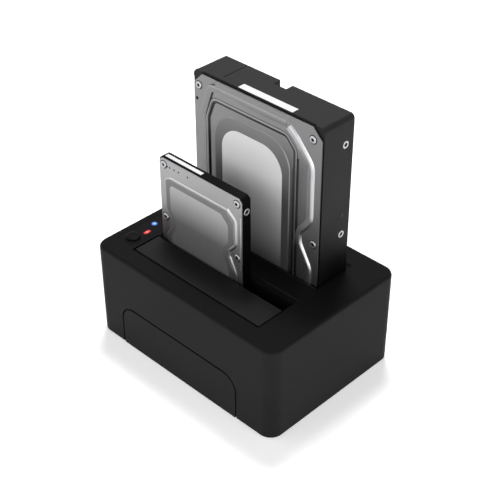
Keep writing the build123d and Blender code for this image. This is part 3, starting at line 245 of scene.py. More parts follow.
# Sections of the pressed strips: pairs of the way to the left of the path and the rise above the face
large_ridge_section = [
    (-0.0032, -0.0001),
    (-0.0032, 0.00001),
    (-0.0022, 0.00008),
    (-0.0012, 0.0002),
    (-0.0004, 0.00028),
    (0.0001, 0.00024),
    (0.0004, 0.0001),
    (0.0007, -0.0002),
    (0.001, -0.0006),
    (0.0013, -0.00088),
    (0.0013, -0.00095),
]
pocket_wall_section = [
    (-0.0013, -0.00065),
    (-0.0013, -0.00059),
    (-0.0009, -0.0005),
    (-0.0005, -0.0003),
    (-0.0001, -0.00004),
    (0.0001, 0.00006),
    (0.0003, 0.00005),
    (0.0005, 0.00001),
    (0.0005, -0.00005),
]
strip_rise = 0.00003
step_edge_section = [
    (0.0012, -strip_rise),
    (0.0012, 0.00006),
    (0.0014, 0.00012),
    (0.0017, 0.00006),
    (0.0017, -strip_rise),
]
# A flat strip of painted shade beside the pocket's step
step_shade_section = [
    (0.0018, -strip_rise),
    (0.0018, strip_rise),
    (0.0023, strip_rise),
    (0.0023, -strip_rise),
]
shade_band_section = [
    (-0.0011, -strip_rise),
    (-0.0011, strip_rise),
    (0.0011, strip_rise),
    (0.0014, -strip_rise),
]
top_roll_section = [
    (-0.0028, -0.00005),
    (-0.0018, 0.00008),
    (-0.0008, 0.00022),
    (0.0002, 0.00026),
    (0.0009, 0.00014),
    (0.0016, -0.00005),
]
small_ridge_section = [
    (-0.0012, -0.0001),
    (-0.0012, 0.00001),
    (-0.0006, 0.0001),
    (-0.0001, 0.00016),
    (0.0003, 0.00012),
    (0.0006, -0.0001),
    (0.0009, -0.00034),
    (0.0012, -0.00048),
    (0.0012, -0.00055),
]
small_rim_section = [
    (-0.0004, -0.0001),
    (-0.0003, 0.0001),
    (0.0, 0.00018),
    (0.0003, 0.0001),
    (0.0004, -0.0001),
]

# Strips on the large cover: name, path, section and finish. The ridge's bright finish and the step edge's
# lighter metal are painted highlights; the dark finish on the pocket wall, the step's strip and the band is
# painted shade
large_strips = [
    ("large_drive_ridge", large_ridge, large_ridge_section, "bright"),
    ("large_drive_pocket_wall", pocket_edge, pocket_wall_section, "dim"),
    ("large_drive_step_edge", pocket_edge, step_edge_section, "small_cover_metal"),
    ("large_drive_step_shade", pocket_edge, step_shade_section, "dim"),
    ("large_drive_shade_band", shade_band, shade_band_section, "dim"),
    ("large_drive_top_roll", top_roll, top_roll_section, "cover_metal"),
]


# Helpers for the materials


def node_tree(name):
    """A material with an empty tree, its shader and the object's own coordinates."""
    material = bpy.data.materials.new(name)
    material.use_nodes = True
    tree = material.node_tree
    tree.nodes.clear()
    output = tree.nodes.new("ShaderNodeOutputMaterial")
    shader = tree.nodes.new("ShaderNodeBsdfPrincipled")
    tree.links.new(shader.outputs["BSDF"], output.inputs["Surface"])
    place = tree.nodes.new("ShaderNodeTexCoord")
    return material, tree, shader, place.outputs["Object"]


def stretched(tree, place, scale):
    """The coordinates scaled along each axis."""
    mapping = tree.nodes.new("ShaderNodeMapping")
    mapping.inputs["Scale"].default_value = scale
    tree.links.new(place, mapping.inputs["Vector"])
    return mapping.outputs["Vector"]


def noise(tree, place, scale, detail, rough=0.55):
    """Grey noise over the surface."""
    texture = tree.nodes.new("ShaderNodeTexNoise")
    texture.inputs["Scale"].default_value = scale
    texture.inputs["Detail"].default_value = detail
    texture.inputs["Roughness"].default_value = rough
    tree.links.new(place, texture.inputs["Vector"])
    return texture.outputs["Fac"]


def spread(tree, value, low, high, start=0.3, end=0.7):
    """A value mapped from a part of its range to another range."""
    remap = tree.nodes.new("ShaderNodeMapRange")
    remap.inputs["From Min"].default_value = start
    remap.inputs["From Max"].default_value = end
    remap.inputs["To Min"].default_value = low
    remap.inputs["To Max"].default_value = high
    tree.links.new(value, remap.inputs["Value"])
    return remap.outputs["Result"]


def uneven(tree, value, level, by):
    """A level that varies a little with a value."""
    return spread(tree, value, level - by, level + by)


def shades(tree, value, dark, light, start=0.3, end=0.7):
    """A colour between two shades, led by a value."""
    ramp = tree.nodes.new("ShaderNodeValToRGB")
    ramp.color_ramp.elements[0].position = start
    ramp.color_ramp.elements[1].position = end
    ramp.color_ramp.elements[0].color = (*dark, 1.0)
    ramp.color_ramp.elements[1].color = (*light, 1.0)
    tree.links.new(value, ramp.inputs["Fac"])
    return ramp.outputs["Color"]


def combined(tree, operation, first, second):
    """Two values put together by an operation."""
    node = tree.nodes.new("ShaderNodeMath")
    node.operation = operation
    tree.links.new(first, node.inputs[0])
    tree.links.new(second, node.inputs[1])
    return node.outputs[0]


def scaled(tree, colour, share):
    """A colour multiplied by a value."""
    scale = tree.nodes.new("ShaderNodeVectorMath")
    scale.operation = "SCALE"
    tree.links.new(colour, scale.inputs["Vector"])
    tree.links.new(share, scale.inputs["Scale"])
    return scale.outputs["Vector"]


def relief(tree, shader, height, distance):
    """Fine relief on the surface."""
    bump = tree.nodes.new("ShaderNodeBump")
    bump.inputs["Distance"].default_value = distance
    bump.inputs["Strength"].default_value = 1.0
    tree.links.new(height, bump.inputs["Height"])
    tree.links.new(bump.outputs["Normal"], shader.inputs["Normal"])


def grey(level):
    """A neutral colour."""
    return (level, level, level)


def around(colour, amount):
    """A darker and a lighter shade of a colour."""
    dark = tuple(level * (1 - amount) for level in colour)
    light = tuple(min(1.0, level * (1 + amount)) for level in colour)
    return dark, light


def painted_shade_on_top(tree, colour, share):
    """The colour on upright faces, a darker share of it on faces that look up as painted shade."""
    surface = tree.nodes.new("ShaderNodeNewGeometry")
    axes = tree.nodes.new("ShaderNodeSeparateXYZ")
    tree.links.new(surface.outputs["Normal"], axes.inputs["Vector"])
    return scaled(tree, colour, spread(tree, axes.outputs["Z"], low=1.0, high=share, start=0.2, end=0.9))


def slanted(tree, place, low, high):
    """Zero to one along a slanting height, so that the nearer drive counts as lower; it leads the painted
    light and shade on the drives.
    """
    along = tree.nodes.new("ShaderNodeVectorMath")
    along.operation = "DOT_PRODUCT"
    along.inputs[1].default_value = (0.0, drive_slant, 1.0)
    tree.links.new(place, along.inputs[0])
    return spread(tree, along.outputs["Value"], low=0.0, high=1.0, start=low, end=high)


# Materials


def moulded(name, colour, rough, grain=2500.0, depth=0.00003, specular=0.35, above=1.0):
    """Moulded plastic: fine grain, slight unevenness in colour and gloss."""
    material, tree, shader, place = node_tree(name)
    broad = noise(tree, place, scale=45.0, detail=3.0)
    tone = shades(tree, broad, *around(colour, amount=0.12))
    # Painted shade: faces that look up are darker when above is under one
    if above < 1:
        tone = painted_shade_on_top(tree, tone, above)
    tree.links.new(tone, shader.inputs["Base Color"])
    tree.links.new(uneven(tree, broad, rough, by=0.05), shader.inputs["Roughness"])
    shader.inputs["Specular IOR Level"].default_value = specular
    relief(tree, shader, noise(tree, place, scale=grain, detail=2.0), depth)
    return material


def brushed(name, colour, rough, stretch=(300.0, 300.0, 300.0)):
    """Metal with fine marks, drawn out along the axis that is stretched least."""
    material, tree, shader, place = node_tree(name)
    marks = noise(tree, stretched(tree, place, stretch), scale=6.0, detail=6.0, rough=0.7)
    tree.links.new(shades(tree, marks, *around(colour, amount=0.10)), shader.inputs["Base Color"])
    tree.links.new(uneven(tree, marks, rough, by=0.06), shader.inputs["Roughness"])
    shader.inputs["Metallic"].default_value = 1.0
    relief(tree, shader, marks, distance=0.000004)
    return material


def cast(name, colour, rough, specular):
    """Coated casting with a fine sandy grain, darker low down with painted shade."""
    material, tree, shader, place = node_tree(name)
    broad = noise(tree, place, scale=70.0, detail=5.0)
    # Painted shade: the tone falls to a small share towards the drive's lower end
    height = slanted(tree, place, low=0.09, high=0.15)
    share = spread(tree, height, low=0.12, high=1.0, start=0.0, end=1.0)
    tone = shades(tree, broad, *around(colour, amount=0.2))
    tree.links.new(scaled(tree, tone, share), shader.inputs["Base Color"])
    tree.links.new(uneven(tree, broad, rough, by=0.06), shader.inputs["Roughness"])
    shader.inputs["Specular IOR Level"].default_value = specular
    relief(tree, shader, noise(tree, place, scale=1500.0, detail=3.0), distance=0.00004)
    return material


def laminate(name, colour):
    """Lacquered circuit board with faint straight tracks under the lacquer."""
    material, tree, shader, place = node_tree(name)
    waves = tree.nodes.new("ShaderNodeTexWave")
    waves.inputs["Scale"].default_value = 260.0
    waves.inputs["Distortion"].default_value = 0.0
    tree.links.new(place, waves.inputs["Vector"])
    patch = noise(tree, place, scale=160.0, detail=1.0)
    gate = spread(tree, patch, low=0.0, high=1.0, start=0.45, end=0.6)
    tracks = combined(tree, "MULTIPLY", waves.outputs["Fac"], gate)
    track_gain = 1.25
    track_lift = 0.004
    light = tuple(level * track_gain + track_lift for level in colour)
    tree.links.new(shades(tree, tracks, colour, light), shader.inputs["Base Color"])
    tree.links.new(uneven(tree, patch, 0.28, by=0.06), shader.inputs["Roughness"])
    relief(tree, shader, tracks, distance=0.00001)
    return material


def milky(tree, shader, place, colour):
    """Smooth milky resin, slightly uneven in colour and gloss."""
    broad = noise(tree, place, scale=300.0, detail=2.0)
    tree.links.new(shades(tree, broad, *around(colour, amount=0.15)), shader.inputs["Base Color"])
    tree.links.new(uneven(tree, broad, 0.2, by=0.04), shader.inputs["Roughness"])


def lit_pipe(name, colour, bright, node, reach, power):
    """Light pipe that glows, brightest in the middle of its lens."""
    material, tree, shader, place = node_tree(name)
    milky(tree, shader, place, colour)
    low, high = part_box(node)
    away = tree.nodes.new("ShaderNodeVectorMath")
    away.operation = "DISTANCE"
    away.inputs[1].default_value = ((low[0] + high[0]) / 2, (low[1] + high[1]) / 2, high[2])
    tree.links.new(place, away.inputs[0])
    near = spread(tree, away.outputs["Value"], low=0.0, high=1.0, start=reach, end=0.0)
    tree.links.new(shades(tree, near, colour, bright), shader.inputs["Emission Color"])
    edge_share = 0.2
    strength = spread(tree, near, low=edge_share * power, high=power, start=0.0, end=1.0)
    tree.links.new(strength, shader.inputs["Emission Strength"])
    return material


def clear_resin(name, colour):
    """Lacquered resin of a small lamp."""
    material, tree, shader, place = node_tree(name)
    milky(tree, shader, place, colour)
    shader.inputs["Coat Weight"].default_value = 0.4
    return material


def painted_light_gradient(name, top, bottom, low, high, rough, metallic, stretch=(200.0, 200.0, 8.0)):
    """Satin film or sheet with painted light at its upper end and painted shade that deepens towards the
    lower end of a drive.
    """
    material, tree, shader, place = node_tree(name)
    height = slanted(tree, place, low, high)
    streaks = noise(tree, stretched(tree, place, stretch), scale=6.0, detail=6.0, rough=0.7)
    blend = tree.nodes.new("ShaderNodeMath")
    blend.operation = "MULTIPLY_ADD"
    blend.inputs[1].default_value = 0.08
    tree.links.new(streaks, blend.inputs[0])
    tree.links.new(height, blend.inputs[2])
    # The tone runs from painted shade at the bottom to painted light at the top
    tone = shades(tree, blend.outputs[0], bottom, top, start=0.0, end=1.0)
    tree.links.new(tone, shader.inputs["Base Color"])
    tree.links.new(uneven(tree, streaks, rough, by=0.05), shader.inputs["Roughness"])
    shader.inputs["Metallic"].default_value = metallic
    relief(tree, shader, streaks, distance=0.000003)
    return material


def paper(name, colour):
    """Bare label paper with a faint fibre."""
    material, tree, shader, place = node_tree(name)
    fibre = noise(tree, place, scale=800.0, detail=6.0)
    tree.links.new(shades(tree, fibre, *around(colour, amount=0.04)), shader.inputs["Base Color"])
    tree.links.new(uneven(tree, fibre, 0.525, by=0.075), shader.inputs["Roughness"])
    relief(tree, shader, fibre, distance=0.00001)
    return material


def plastics():
    """How each plastic, rubber and resin looks; shade and gap are near-black finishes of the fittings, shade
    mostly for painted shade and shadow, gap for the painted shade of the gap round the front bay's flap.
    """
    return {
        # The case and the panel get painted shade on faces that look up
        "case_plastic": dict(colour=grey(0.0165), rough=0.55, specular=0.04, above=0.28),
        "panel_plastic": dict(
            colour=grey(0.0160), rough=0.5, grain=3500.0, depth=0.00001, specular=0.04, above=0.28
        ),
        # liner_plastic is darker than the case's plastic as painted shade inside the bays
        "liner_plastic": dict(colour=grey(0.004), rough=0.6, specular=0.03),
        "flap_plastic": dict(colour=grey(0.008), rough=0.5, specular=0.08),
        "button_plastic": dict(colour=grey(0.005), rough=0.42, grain=3500.0, depth=0.00001, specular=0.03),
        "foot_rubber": dict(colour=grey(0.02), rough=0.75, grain=1200.0, depth=0.00005),
        "connector_plastic": dict(colour=grey(0.02), rough=0.5),
        "ribbon_plastic": dict(colour=(0.40, 0.40, 0.42), rough=0.5, grain=1800.0),
        "chip_resin": dict(colour=(0.02, 0.02, 0.022), rough=0.6, grain=1800.0),
        "ferrite": dict(colour=(0.10, 0.10, 0.11), rough=0.7, grain=1500.0, depth=0.00005),
        "socket_core_plastic": dict(colour=(0.72, 0.72, 0.70), rough=0.5),
        "rocker_plastic": dict(colour=grey(0.02), rough=0.3, grain=3500.0, depth=0.00001, specular=0.5),
        "gasket_foam": dict(colour=grey(0.015), rough=0.8, grain=1500.0, depth=0.00005),
        "shade": dict(colour=grey(0.006), rough=0.7, grain=1500.0, depth=0.00002, specular=0.05),
        "gap": dict(colour=grey(0.0007), rough=0.9, grain=1500.0, depth=0.00002, specular=0.0),
    }


def metals():
    """How each bare metal looks; bright is light metal for the bushes and the pin and a painted highlight on
    the pressed ridges and rim, and the dim finish is dark metal for the pin bush and painted shade on the
    large cover's strips.
    """
    return {
        "screw_steel": dict(colour=(0.55, 0.55, 0.56), rough=0.32),
        # spring_steel is kept dark as painted shade, so the gap round the front bay's flap reads dark
        "spring_steel": dict(colour=(0.16, 0.16, 0.165), rough=0.45, stretch=(30.0, 400.0, 400.0)),
        "drive_screw_steel": dict(colour=(0.46, 0.46, 0.47), rough=0.34),
        "contact_metal": dict(colour=(0.83, 0.62, 0.24), rough=0.25, stretch=(60.0, 400.0, 60.0)),
        "capacitor_sleeve": dict(colour=(0.55, 0.56, 0.58), rough=0.3, stretch=(300.0, 300.0, 40.0)),
        "crystal_can": dict(colour=grey(0.62), rough=0.28, stretch=(60.0, 400.0, 400.0)),
        "shell_metal": dict(colour=(0.62, 0.62, 0.63), rough=0.3, stretch=(300.0, 40.0, 300.0)),
        "bright": dict(colour=(0.50, 0.50, 0.51), rough=0.34),
        "dim": dict(colour=(0.05, 0.05, 0.052), rough=0.4),
    }


def castings():
    """How the coated castings look; the small drive has a darker coat."""
    return {
        "casting_metal": dict(colour=(0.0095, 0.0095, 0.010), rough=0.45, specular=0.12),
        "small_casting_coat": dict(colour=(0.0028, 0.0028, 0.003), rough=0.5, specular=0.05),
    }


def sheets():
    """How the stamped covers, the label film and the foils look from their upper to their lower end, with
    painted light above and painted shade below.
    """
    along_x = (12.0, 200.0, 60.0)
    return {
        "cover_metal": dict(
            top=(0.21, 0.21, 0.213),
            bottom=(0.15, 0.15, 0.153),
            low=0.05,
            high=0.13,
            rough=0.42,
            metallic=1.0,
            stretch=along_x,
        ),
        "small_cover_metal": dict(
            top=(0.33, 0.33, 0.334),
            bottom=(0.24, 0.24, 0.244),
            low=0.05,
            high=0.11,
            rough=0.4,
            metallic=1.0,
            stretch=along_x,
        ),
        "label_film": dict(
            top=grey(0.76), bottom=grey(0.07), low=0.071, high=0.121, rough=0.5, metallic=0.1
        ),
        "foil": dict(top=grey(0.42), bottom=grey(0.05), low=0.075, high=0.155, rough=0.5, metallic=0.1),
        "small_foil": dict(
            top=grey(0.30), bottom=grey(0.035), low=0.045, high=0.105, rough=0.5, metallic=0.1
        ),
    }


def light_pipes():
    """How the two light pipes look and glow."""
    return {
        "blue_pipe": dict(
            colour=(0.005, 0.07, 0.36),
            bright=(0.40, 0.72, 1.0),
            node="power_light_pipe",
            reach=0.0024,
            power=1.0,
        ),
        "red_pipe": dict(
            colour=(0.62, 0.02, 0.02),
            bright=(1.0, 0.35, 0.32),
            node="activity_light_pipe",
            reach=0.0018,
            power=0.9,
        ),
    }


def material_table():
    """Every finish by its name, which is that of its slot in the record where it has one."""
    table = {}
    groups = [(moulded, plastics()), (brushed, metals()), (cast, castings())]
    groups += [(painted_light_gradient, sheets()), (lit_pipe, light_pipes())]
    for make, looks in groups:
        for name, look in looks.items():
            table[name] = make(name, **look)
    table["lamp_resin"] = clear_resin("lamp_resin", (0.82, 0.80, 0.70))
    table["board_laminate"] = laminate("board_laminate", (0.02, 0.14, 0.06))
    table["drive_board_laminate"] = laminate("drive_board_laminate", (0.015, 0.10, 0.08))
    table["paper_label"] = paper("paper_label", grey(0.80))
    return table


def dress(finishes):
    """Give every node the finish of its slot, or its own where it has one."""
    for entry in frame["record"]["subparts"]:
        mesh = frame["nodes"][entry["node"]].data
        mesh.materials.clear()
        mesh.materials.append(finishes[own_finishes.get(entry["node"], entry["material_slot"])])


# Paths and forms


def on_drive(casting, ways):
    """Points on a drive's face, in the frame's x and z; a negative way counts from the far edge."""
    low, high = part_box(casting)
    points = []
    for across, upwards in ways:
        side = low if across >= 0 else high
        end = low if upwards >= 0 else high
        points.append(Vector((side[0] + across, end[2] + upwards)))
    return points


def arc(before, here, after, radius):
    """Points of the arc that rounds a corner."""
    way_in = (before - here).normalized()
    way_out = (after - here).normalized()
    half = way_in.angle(way_out) / 2
    reach = radius / math.tan(half)
    centre = here + (way_in + way_out).normalized() * (radius / math.sin(half))
    start = here + way_in * reach - centre
    end = here + way_out * reach - centre
    turn = math.atan2(start.x * end.y - start.y * end.x, start.dot(end))
    steps = max(2, round(abs(turn) / arc_step))
    points = []
    for step in range(steps + 1):
        angle = turn * step / steps
        cos = math.cos(angle)
        sin = math.sin(angle)
        points.append(centre + Vector((start.x * cos - start.y * sin, start.x * sin + start.y * cos)))
    return points


def drive_path(casting, corners):
    """Path on a drive's face through corners, rounded where they have a radius."""
    points = on_drive(casting, [(across, upwards) for across, upwards, radius in corners])
    radii = [radius for across, upwards, radius in corners]
    path = []
    for index, (point, radius) in enumerate(zip(points, radii)):
        if radius:
            path += arc(points[index - 1], point, points[(index + 1) % len(points)], radius)
        else:
            path.append(point)
    return path


def add_piece(name, data, finish, body, place=Matrix()):
    """A piece with a finish, at a place in the frame, that moves with a body."""
    data.materials.append(finish)
    piece = bpy.data.objects.new(name, data)
    bpy.context.scene.collection.objects.link(piece)
    piece.matrix_world = place
    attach(piece, body)
    return piece


def foil(name, outline, front, finish, body):
    """Thin flat foil on a drive's face."""
    curve = bpy.data.curves.new(name, "CURVE")
    curve.dimensions = "2D"
    curve.fill_mode = "BOTH"
    curve.extrude = foil_lift
    spline = curve.splines.new("POLY")
    spline.points.add(len(outline) - 1)
    for knot, point in zip(spline.points, outline):
        knot.co = (point.x, point.y, 0.0, 1.0)
    spline.use_cyclic_u = True
    upright = Matrix.Rotation(math.pi / 2, 4, "X")
    add_piece(name, curve, finish, body, Matrix.Translation((0, front, 0)) @ upright)


def solid_piece(name, forms, finish, body, sharp=sharp_angle):
    """One mesh piece made of several forms, its faces turned outwards and its soft edges smoothed."""
    vertices = []
    faces = []
    for some_vertices, some_faces in forms:
        base = len(vertices)
        vertices += some_vertices
        faces += [tuple(base + index for index in face) for face in some_faces]
    mesh = bpy.data.meshes.new(name)
    mesh.from_pydata(vertices, [], faces)
    work = bmesh.new()
    work.from_mesh(mesh)
    bmesh.ops.recalc_face_normals(work, faces=work.faces)
    work.to_mesh(mesh)
    work.free()
    mesh.shade_smooth()
    mesh.set_sharp_from_angle(angle=math.radians(sharp))
    return add_piece(name, mesh, finish, body)


def block(xs, ys, zs):
    """Vertices and faces of a plain block."""
    vertices = [(x, y, z) for x in xs for y in ys for z in zs]
    faces = [(0, 1, 3, 2), (4, 6, 7, 5), (0, 4, 5, 1), (2, 3, 7, 6), (0, 2, 6, 4), (1, 5, 7, 3)]
    return vertices, faces


def bands(base, rings, sides, closed):
    """Faces between rings of vertices that follow each other, back to the first if closed."""
    faces = []
    for ring in range(rings if closed else rings - 1):
        low = base + ring * sides
        high = base + (ring + 1) % rings * sides
        for side in range(sides):
            follow = (side + 1) % sides
            faces.append((low + side, low + follow, high + follow, high + side))
    return faces


def caps(base, rings, sides):
    """Faces that close the first and the last ring."""
    last = base + (rings - 1) * sides
    start = tuple(base + side for side in reversed(range(sides)))
    end = tuple(last + side for side in range(sides))
    return [start, end]


def turned(places, direction, section, sides, lobed_rings=0, hollow=False):
    """Vertices and faces of forms turned about a direction; their first rings may have lobes."""
    axis = Vector(direction).normalized()
    side_way = axis.orthogonal().normalized()
    other_way = axis.cross(side_way)
    vertices = []
    faces = []
    for place in places:
        base = len(vertices)
        for ring, (radius, height) in enumerate(section):
            lobe_depth = socket_lobe_depth if ring < lobed_rings else 0.0
            for side in range(sides):
                angle = 2 * math.pi * side / sides
                out = side_way * math.cos(angle) + other_way * math.sin(angle)
                wave = 1 - lobe_depth * math.cos(socket_lobe_count * angle)
                vertices.append(Vector(place) + out * radius * wave + axis * height)
        faces += bands(base, len(section), sides, hollow)
        if not hollow:
            faces += caps(base, len(section), sides)
    return vertices, faces


# Fittings


def strip(name, path, section, front, finish, body):
    """Pressed strip along a path on a drive's face."""
    vertices = []
    for index, point in enumerate(path):
        before = path[max(index - 1, 0)]
        after = path[min(index + 1, len(path) - 1)]
        along = (after - before).normalized()
        for across, rise in section:
            vertices.append((point.x - along.y * across, front - rise, point.y + along.x * across))
    faces = bands(0, len(path), len(section), False) + caps(0, len(path), len(section))
    solid_piece(name, [(vertices, faces)], finish, body, strip_sharp_angle)


def same_head(first, second):
    """Whether two points lie so near each other that they belong to one screw head."""
    return abs(first.x - second.x) < head_spacing and abs(first.z - second.z) < head_spacing


def head_places(node):
    """Middles of a node's screw heads in x and z, from its vertices on the front plane."""
    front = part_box(node)[0][1]
    points = [vertex.co for vertex in frame["nodes"][node].data.vertices]
    groups = []
    for point in points:
        if abs(point.y - front) > head_plane_tolerance:
            continue
        near = [group for group in groups if same_head(group[0], point)]
        if near:
            near[0].append(point)
        else:
            groups.append([point])
    middles = []
    for group in groups:
        xs = [point.x for point in group]
        zs = [point.z for point in group]
        middles.append(((min(xs) + max(xs)) / 2, (min(zs) + max(zs)) / 2))
    return middles


def sized(section, radius, height):
    """A section of shares brought to its size."""
    return [(radius * across, height * upwards) for across, upwards in section]


def screw_heads(name, node, finishes, body):
    """Cover screws with a rounded rim and a lobed socket, in place of the plain ones, and the painted shade
    in their sockets and round their seats.
    """
    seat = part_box(node)[0][1] + screw_head_height
    places = [(x, seat, z) for x, z in head_places(node)]
    section = sized(socket_section, socket_radius, screw_head_height)
    section += sized(head_section, screw_head_radius, screw_head_height)
    heads = turned(places, forwards, section, head_sides, len(socket_section))
    piece = solid_piece(name, [heads], finishes["drive_screw_steel"], body)
    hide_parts(node)
    section = sized(socket_shade_section, socket_radius, screw_head_height)
    sockets = turned(places, forwards, section, head_sides, len(section))
    section = sized(seat_shade_section, screw_head_radius, screw_head_height)
    seats = turned(places, forwards, section, head_sides, hollow=True)
    solid_piece(name + "_shade", [sockets, seats], finishes["shade"], body)


def bushes(name, casting, heights, back, finish, body, share=1.0):
    """Bushes in the side holes of a drive, or smaller ones by a share."""
    low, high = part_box(casting)
    inner = bush_inner * share
    outer = bush_outer * share
    deep = bush_depth * share
    section = [
        (inner, -deep),
        (inner, 0.0),
        (inner * bush_mouth_share, bush_rise),
        (outer * bush_edge_share, bush_rise),
        (outer, 0.0),
        (outer, -deep),
    ]
    forms = []
    for x, outwards in ((low[0], leftwards), (high[0], rightwards)):
        places = [(x, high[1] - back, low[2] + height) for height in heights]
        forms.append(turned(places, outwards, section, bush_sides, hollow=True))
    solid_piece(name, forms, finish, body)


def cover_holes(name, casting, front, ways, radius, finish, body):
    """Small dark holes in a drive's cover, drawn as flat discs of painted shade."""
    section = [(radius, hole_rise), (radius, -hole_rise)]
    places = [(point.x, front, point.y) for point in on_drive(casting, ways)]
    solid_piece(name, [turned(places, forwards, section, hole_sides)], finish, body)


def bay_gap_shade(name, flap, finish):
    """Strip of painted shade round the front, left and right edges of a bay opening, flush with the roof,
    for the gap round its flap.
    """
    flap_low, flap_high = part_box(flap)
    left = flap_low[0] + flap_ear_length
    right = flap_high[0] - flap_ear_length
    front = flap_low[1] - flap_edge_gap
    back = flap_high[1]
    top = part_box("upper_housing")[1][2] + bay_shade_rise
    under_and_top = (top - bay_shade_depth, top)
    sides = (front - bay_shade_width, back)
    forms = [
        block((left - bay_shade_width, left), sides, under_and_top),
        block((right, right + bay_shade_width), sides, under_and_top),
        block((left - bay_shade_width, right + bay_shade_width), (front - bay_shade_width, front), under_and_top),
    ]
    solid_piece(name, forms, finish, "dock")


def corner_pin(name, casting, finishes, body):
    """Small bright pin with a dark seat at the upper left corner of the large drive."""
    low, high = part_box(casting)
    places = [(low[0], low[1] + pin_from_front, high[2] - pin_below_top)]
    seat = turned(places, leftwards, pin_seat_section, pin_sides)
    solid_piece(name + "_seat", [seat], finishes["shade"], body)
    solid_piece(name, [turned(places, leftwards, pin_section, pin_sides)], finishes["bright"], body)


def gasket_shadow(name, cover, casting, finish, body):
    """Strip of painted shadow on the casting's top behind the cover's upper edge, by the gasket."""
    low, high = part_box(cover)
    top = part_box(casting)[1][2]
    xs = (low[0] + gasket_shadow_inset, high[0] - gasket_shadow_inset)
    ys = (high[1], high[1] + gasket_shadow_width)
    zs = (top - gasket_shadow_depth, top + gasket_shadow_rise)
    solid_piece(name, [block(xs, ys, zs)], finish, body)


def dress_large_drive(finishes):
    """Foil, pressed strips with painted highlights and painted shade, pin, painted shadow behind the cover,
    screws with painted shade, bushes and a hole of painted shade on the large drive.
    """
    casting = "large_drive_casting"
    body = "large_drive"
    shade = finishes["shade"]
    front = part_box("large_drive_cover")[0][1]
    outline = drive_path(casting, large_foil_outline)
    foil("large_drive_foil", outline, front + large_foil_step - foil_lift, finishes["foil"], body)
    for name, corners, section, finish in large_strips:
        strip(name, drive_path(casting, corners), section, front, finishes[finish], body)
    corner_pin("large_drive_corner_pin", casting, finishes, body)
    gasket_shadow("large_drive_gasket_shadow", "large_drive_cover", casting, shade, body)
    screw_heads("large_cover_screw_heads", "large_drive_cover_screws", finishes, body)
    back = large_bush_back
    bushes("large_drive_bushes", casting, large_bush_heights, back, finishes["bright"], body)
    bushes("large_drive_pin_bush", casting, pin_hole_heights, back, finishes["dim"], body, pin_hole_share)
    flange = front + large_flange_step
    cover_holes("large_cover_hole", casting, flange, large_hole_ways, large_hole_radius, shade, body)


def dress_small_drive(finishes):
    """Foil, pressed ridge, screws, bushes, flange rim and holes of the small drive; the ridge and the rim
    carry painted highlights, the screws and the holes painted shade.
    """
    casting = "small_drive_casting"
    body = "small_drive"
    bright = finishes["bright"]
    shade = finishes["shade"]
    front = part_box("small_drive_cover")[0][1]
    outline = drive_path(casting, small_foil_outline)
    foil("small_drive_foil", outline, front - foil_lift, finishes["small_foil"], body)
    ridge = drive_path(casting, small_ridge)
    ridge_front = front + small_ridge_step
    # The bright metal of the ridge and the rim is a painted highlight
    strip("small_drive_ridge", ridge, small_ridge_section, ridge_front, bright, body)
    screw_heads("small_cover_screw_heads", "small_drive_cover_screws", finishes, body)
    bushes("small_drive_bushes", casting, small_bush_heights, small_bush_back, bright, body)
    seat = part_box("small_drive_cover_screws")[0][1] + screw_head_height
    rim = drive_path(casting, small_rim)
    strip("small_drive_flange_rim", rim, small_rim_section, seat, bright, body)
    flange = front + small_flange_step
    cover_holes("small_cover_holes", casting, flange, small_hole_ways, small_hole_radius, shade, body)


# Floor, light and camera


def seen_directly(tree):
    """One for rays from the camera and for mirrored or refracted ones, else zero."""
    ray = tree.nodes.new("ShaderNodeLightPath")
    mirrored = combined(tree, "MAXIMUM", ray.outputs["Is Camera Ray"], ray.outputs["Is Glossy Ray"])
    return combined(tree, "MAXIMUM", mirrored, ray.outputs["Is Transmission Ray"])


def floor_material():
    """Pale floor that shows white where the light reaches it and keeps the shadow."""
    material, tree, shader, place = node_tree("floor")
    grain = noise(tree, place, scale=8.0, detail=3.0)
    tree.links.new(shades(tree, grain, grey(0.86), grey(0.90)), shader.inputs["Base Color"])
    shader.inputs["Roughness"].default_value = 0.8
    shader.inputs["Specular IOR Level"].default_value = 0.0
    shader.inputs["Emission Color"].default_value = (1.0, 1.0, 1.0, 1.0)
    away = tree.nodes.new("ShaderNodeVectorMath")
    away.operation = "LENGTH"
    tree.links.new(place, away.inputs[0])
    glow = spread(tree, away.outputs["Value"], low=floor_glow, high=1.0, start=glow_near, end=glow_far)
    strength = combined(tree, "MULTIPLY", seen_directly(tree), glow)
    tree.links.new(strength, shader.inputs["Emission Strength"])
    return material


def backdrop():
    """Large plain floor."""
    bpy.ops.mesh.primitive_plane_add(size=floor_size, location=(0, 0, 0))
    floor = bpy.context.object
    floor.name = "floor"
    floor.data.materials.append(floor_material())


def area_lamp(name, place, size, power):
    """Soft rectangular lamp that faces the middle of the object."""
    data = bpy.data.lights.new(name, "AREA")
    data.shape = "RECTANGLE"
    data.size = size[0]
    data.size_y = size[1]
    data.energy = power
    lamp = bpy.data.objects.new(name, data)
    bpy.context.scene.collection.objects.link(lamp)
    lamp.location = place
    direction = Vector(lamp_target) - Vector(place)
    lamp.rotation_euler = direction.to_track_quat("-Z", "Y").to_euler()


def background(tree):
    """White light of the world."""
    light = tree.nodes.new("ShaderNodeBackground")
    light.inputs["Color"].default_value = (1.0, 1.0, 1.0, 1.0)
    light.inputs["Strength"].default_value = 1.0
    return light


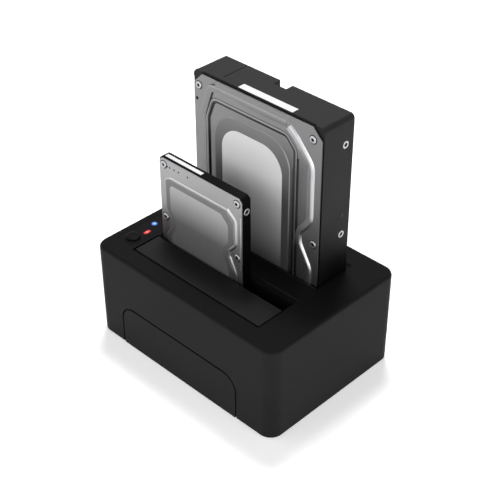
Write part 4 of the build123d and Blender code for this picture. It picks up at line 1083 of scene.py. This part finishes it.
def sky(tree):
    """Light that is strongest near the horizon and weak overhead."""
    place = tree.nodes.new("ShaderNodeTexCoord")
    axes = tree.nodes.new("ShaderNodeSeparateXYZ")
    tree.links.new(place.outputs["Generated"], axes.inputs["Vector"])
    light = background(tree)
    level = spread(tree, axes.outputs["Z"], horizon_strength, zenith_strength, start=0.0, end=zenith_height)
    tree.links.new(level, light.inputs["Strength"])
    return light


def lighting():
    """Plain soft studio light: two low lamps in front, one above and behind, and a pale room."""
    area_lamp("key", key_place, key_size, key_power)
    area_lamp("fill", fill_place, fill_size, fill_power)
    area_lamp("top", top_place, top_size, top_power)
    world = bpy.data.worlds.new("studio")
    bpy.context.scene.world = world
    world.use_nodes = True
    tree = world.node_tree
    tree.nodes.clear()
    output = tree.nodes.new("ShaderNodeOutputWorld")
    mix = tree.nodes.new("ShaderNodeMixShader")
    tree.links.new(seen_directly(tree), mix.inputs["Fac"])
    tree.links.new(sky(tree).outputs["Background"], mix.inputs[1])
    tree.links.new(background(tree).outputs["Background"], mix.inputs[2])
    tree.links.new(mix.outputs["Shader"], output.inputs["Surface"])


def camera():
    """Camera at the place fitted to the photograph."""
    azimuth = math.radians(camera_azimuth)
    elevation = math.radians(camera_elevation)
    right = Vector((math.cos(azimuth), math.sin(azimuth), 0))
    level = math.cos(elevation)
    back = Vector((math.sin(azimuth) * level, -math.cos(azimuth) * level, math.sin(elevation)))
    up = back.cross(right)
    data = bpy.data.cameras.new("camera")
    data.lens = camera_lens
    data.sensor_width = camera_sensor
    data.clip_start = camera_near
    data.clip_end = camera_far
    eye = bpy.data.objects.new("camera", data)
    bpy.context.scene.collection.objects.link(eye)
    place = right * camera_across + up * camera_upward + back * camera_distance + Vector((0, 0, camera_lift))
    turn = Matrix((right, up, back)).transposed().to_4x4()
    eye.matrix_world = Matrix.Translation(place) @ turn
    bpy.context.scene.camera = eye


finishes = material_table()
dress(finishes)
dress_large_drive(finishes)
dress_small_drive(finishes)
bay_gap_shade("front_bay_gap_shade", "front_bay_flap", finishes["gap"])
backdrop()
lighting()
camera()
bpy.context.scene.view_settings.view_transform = "Standard"
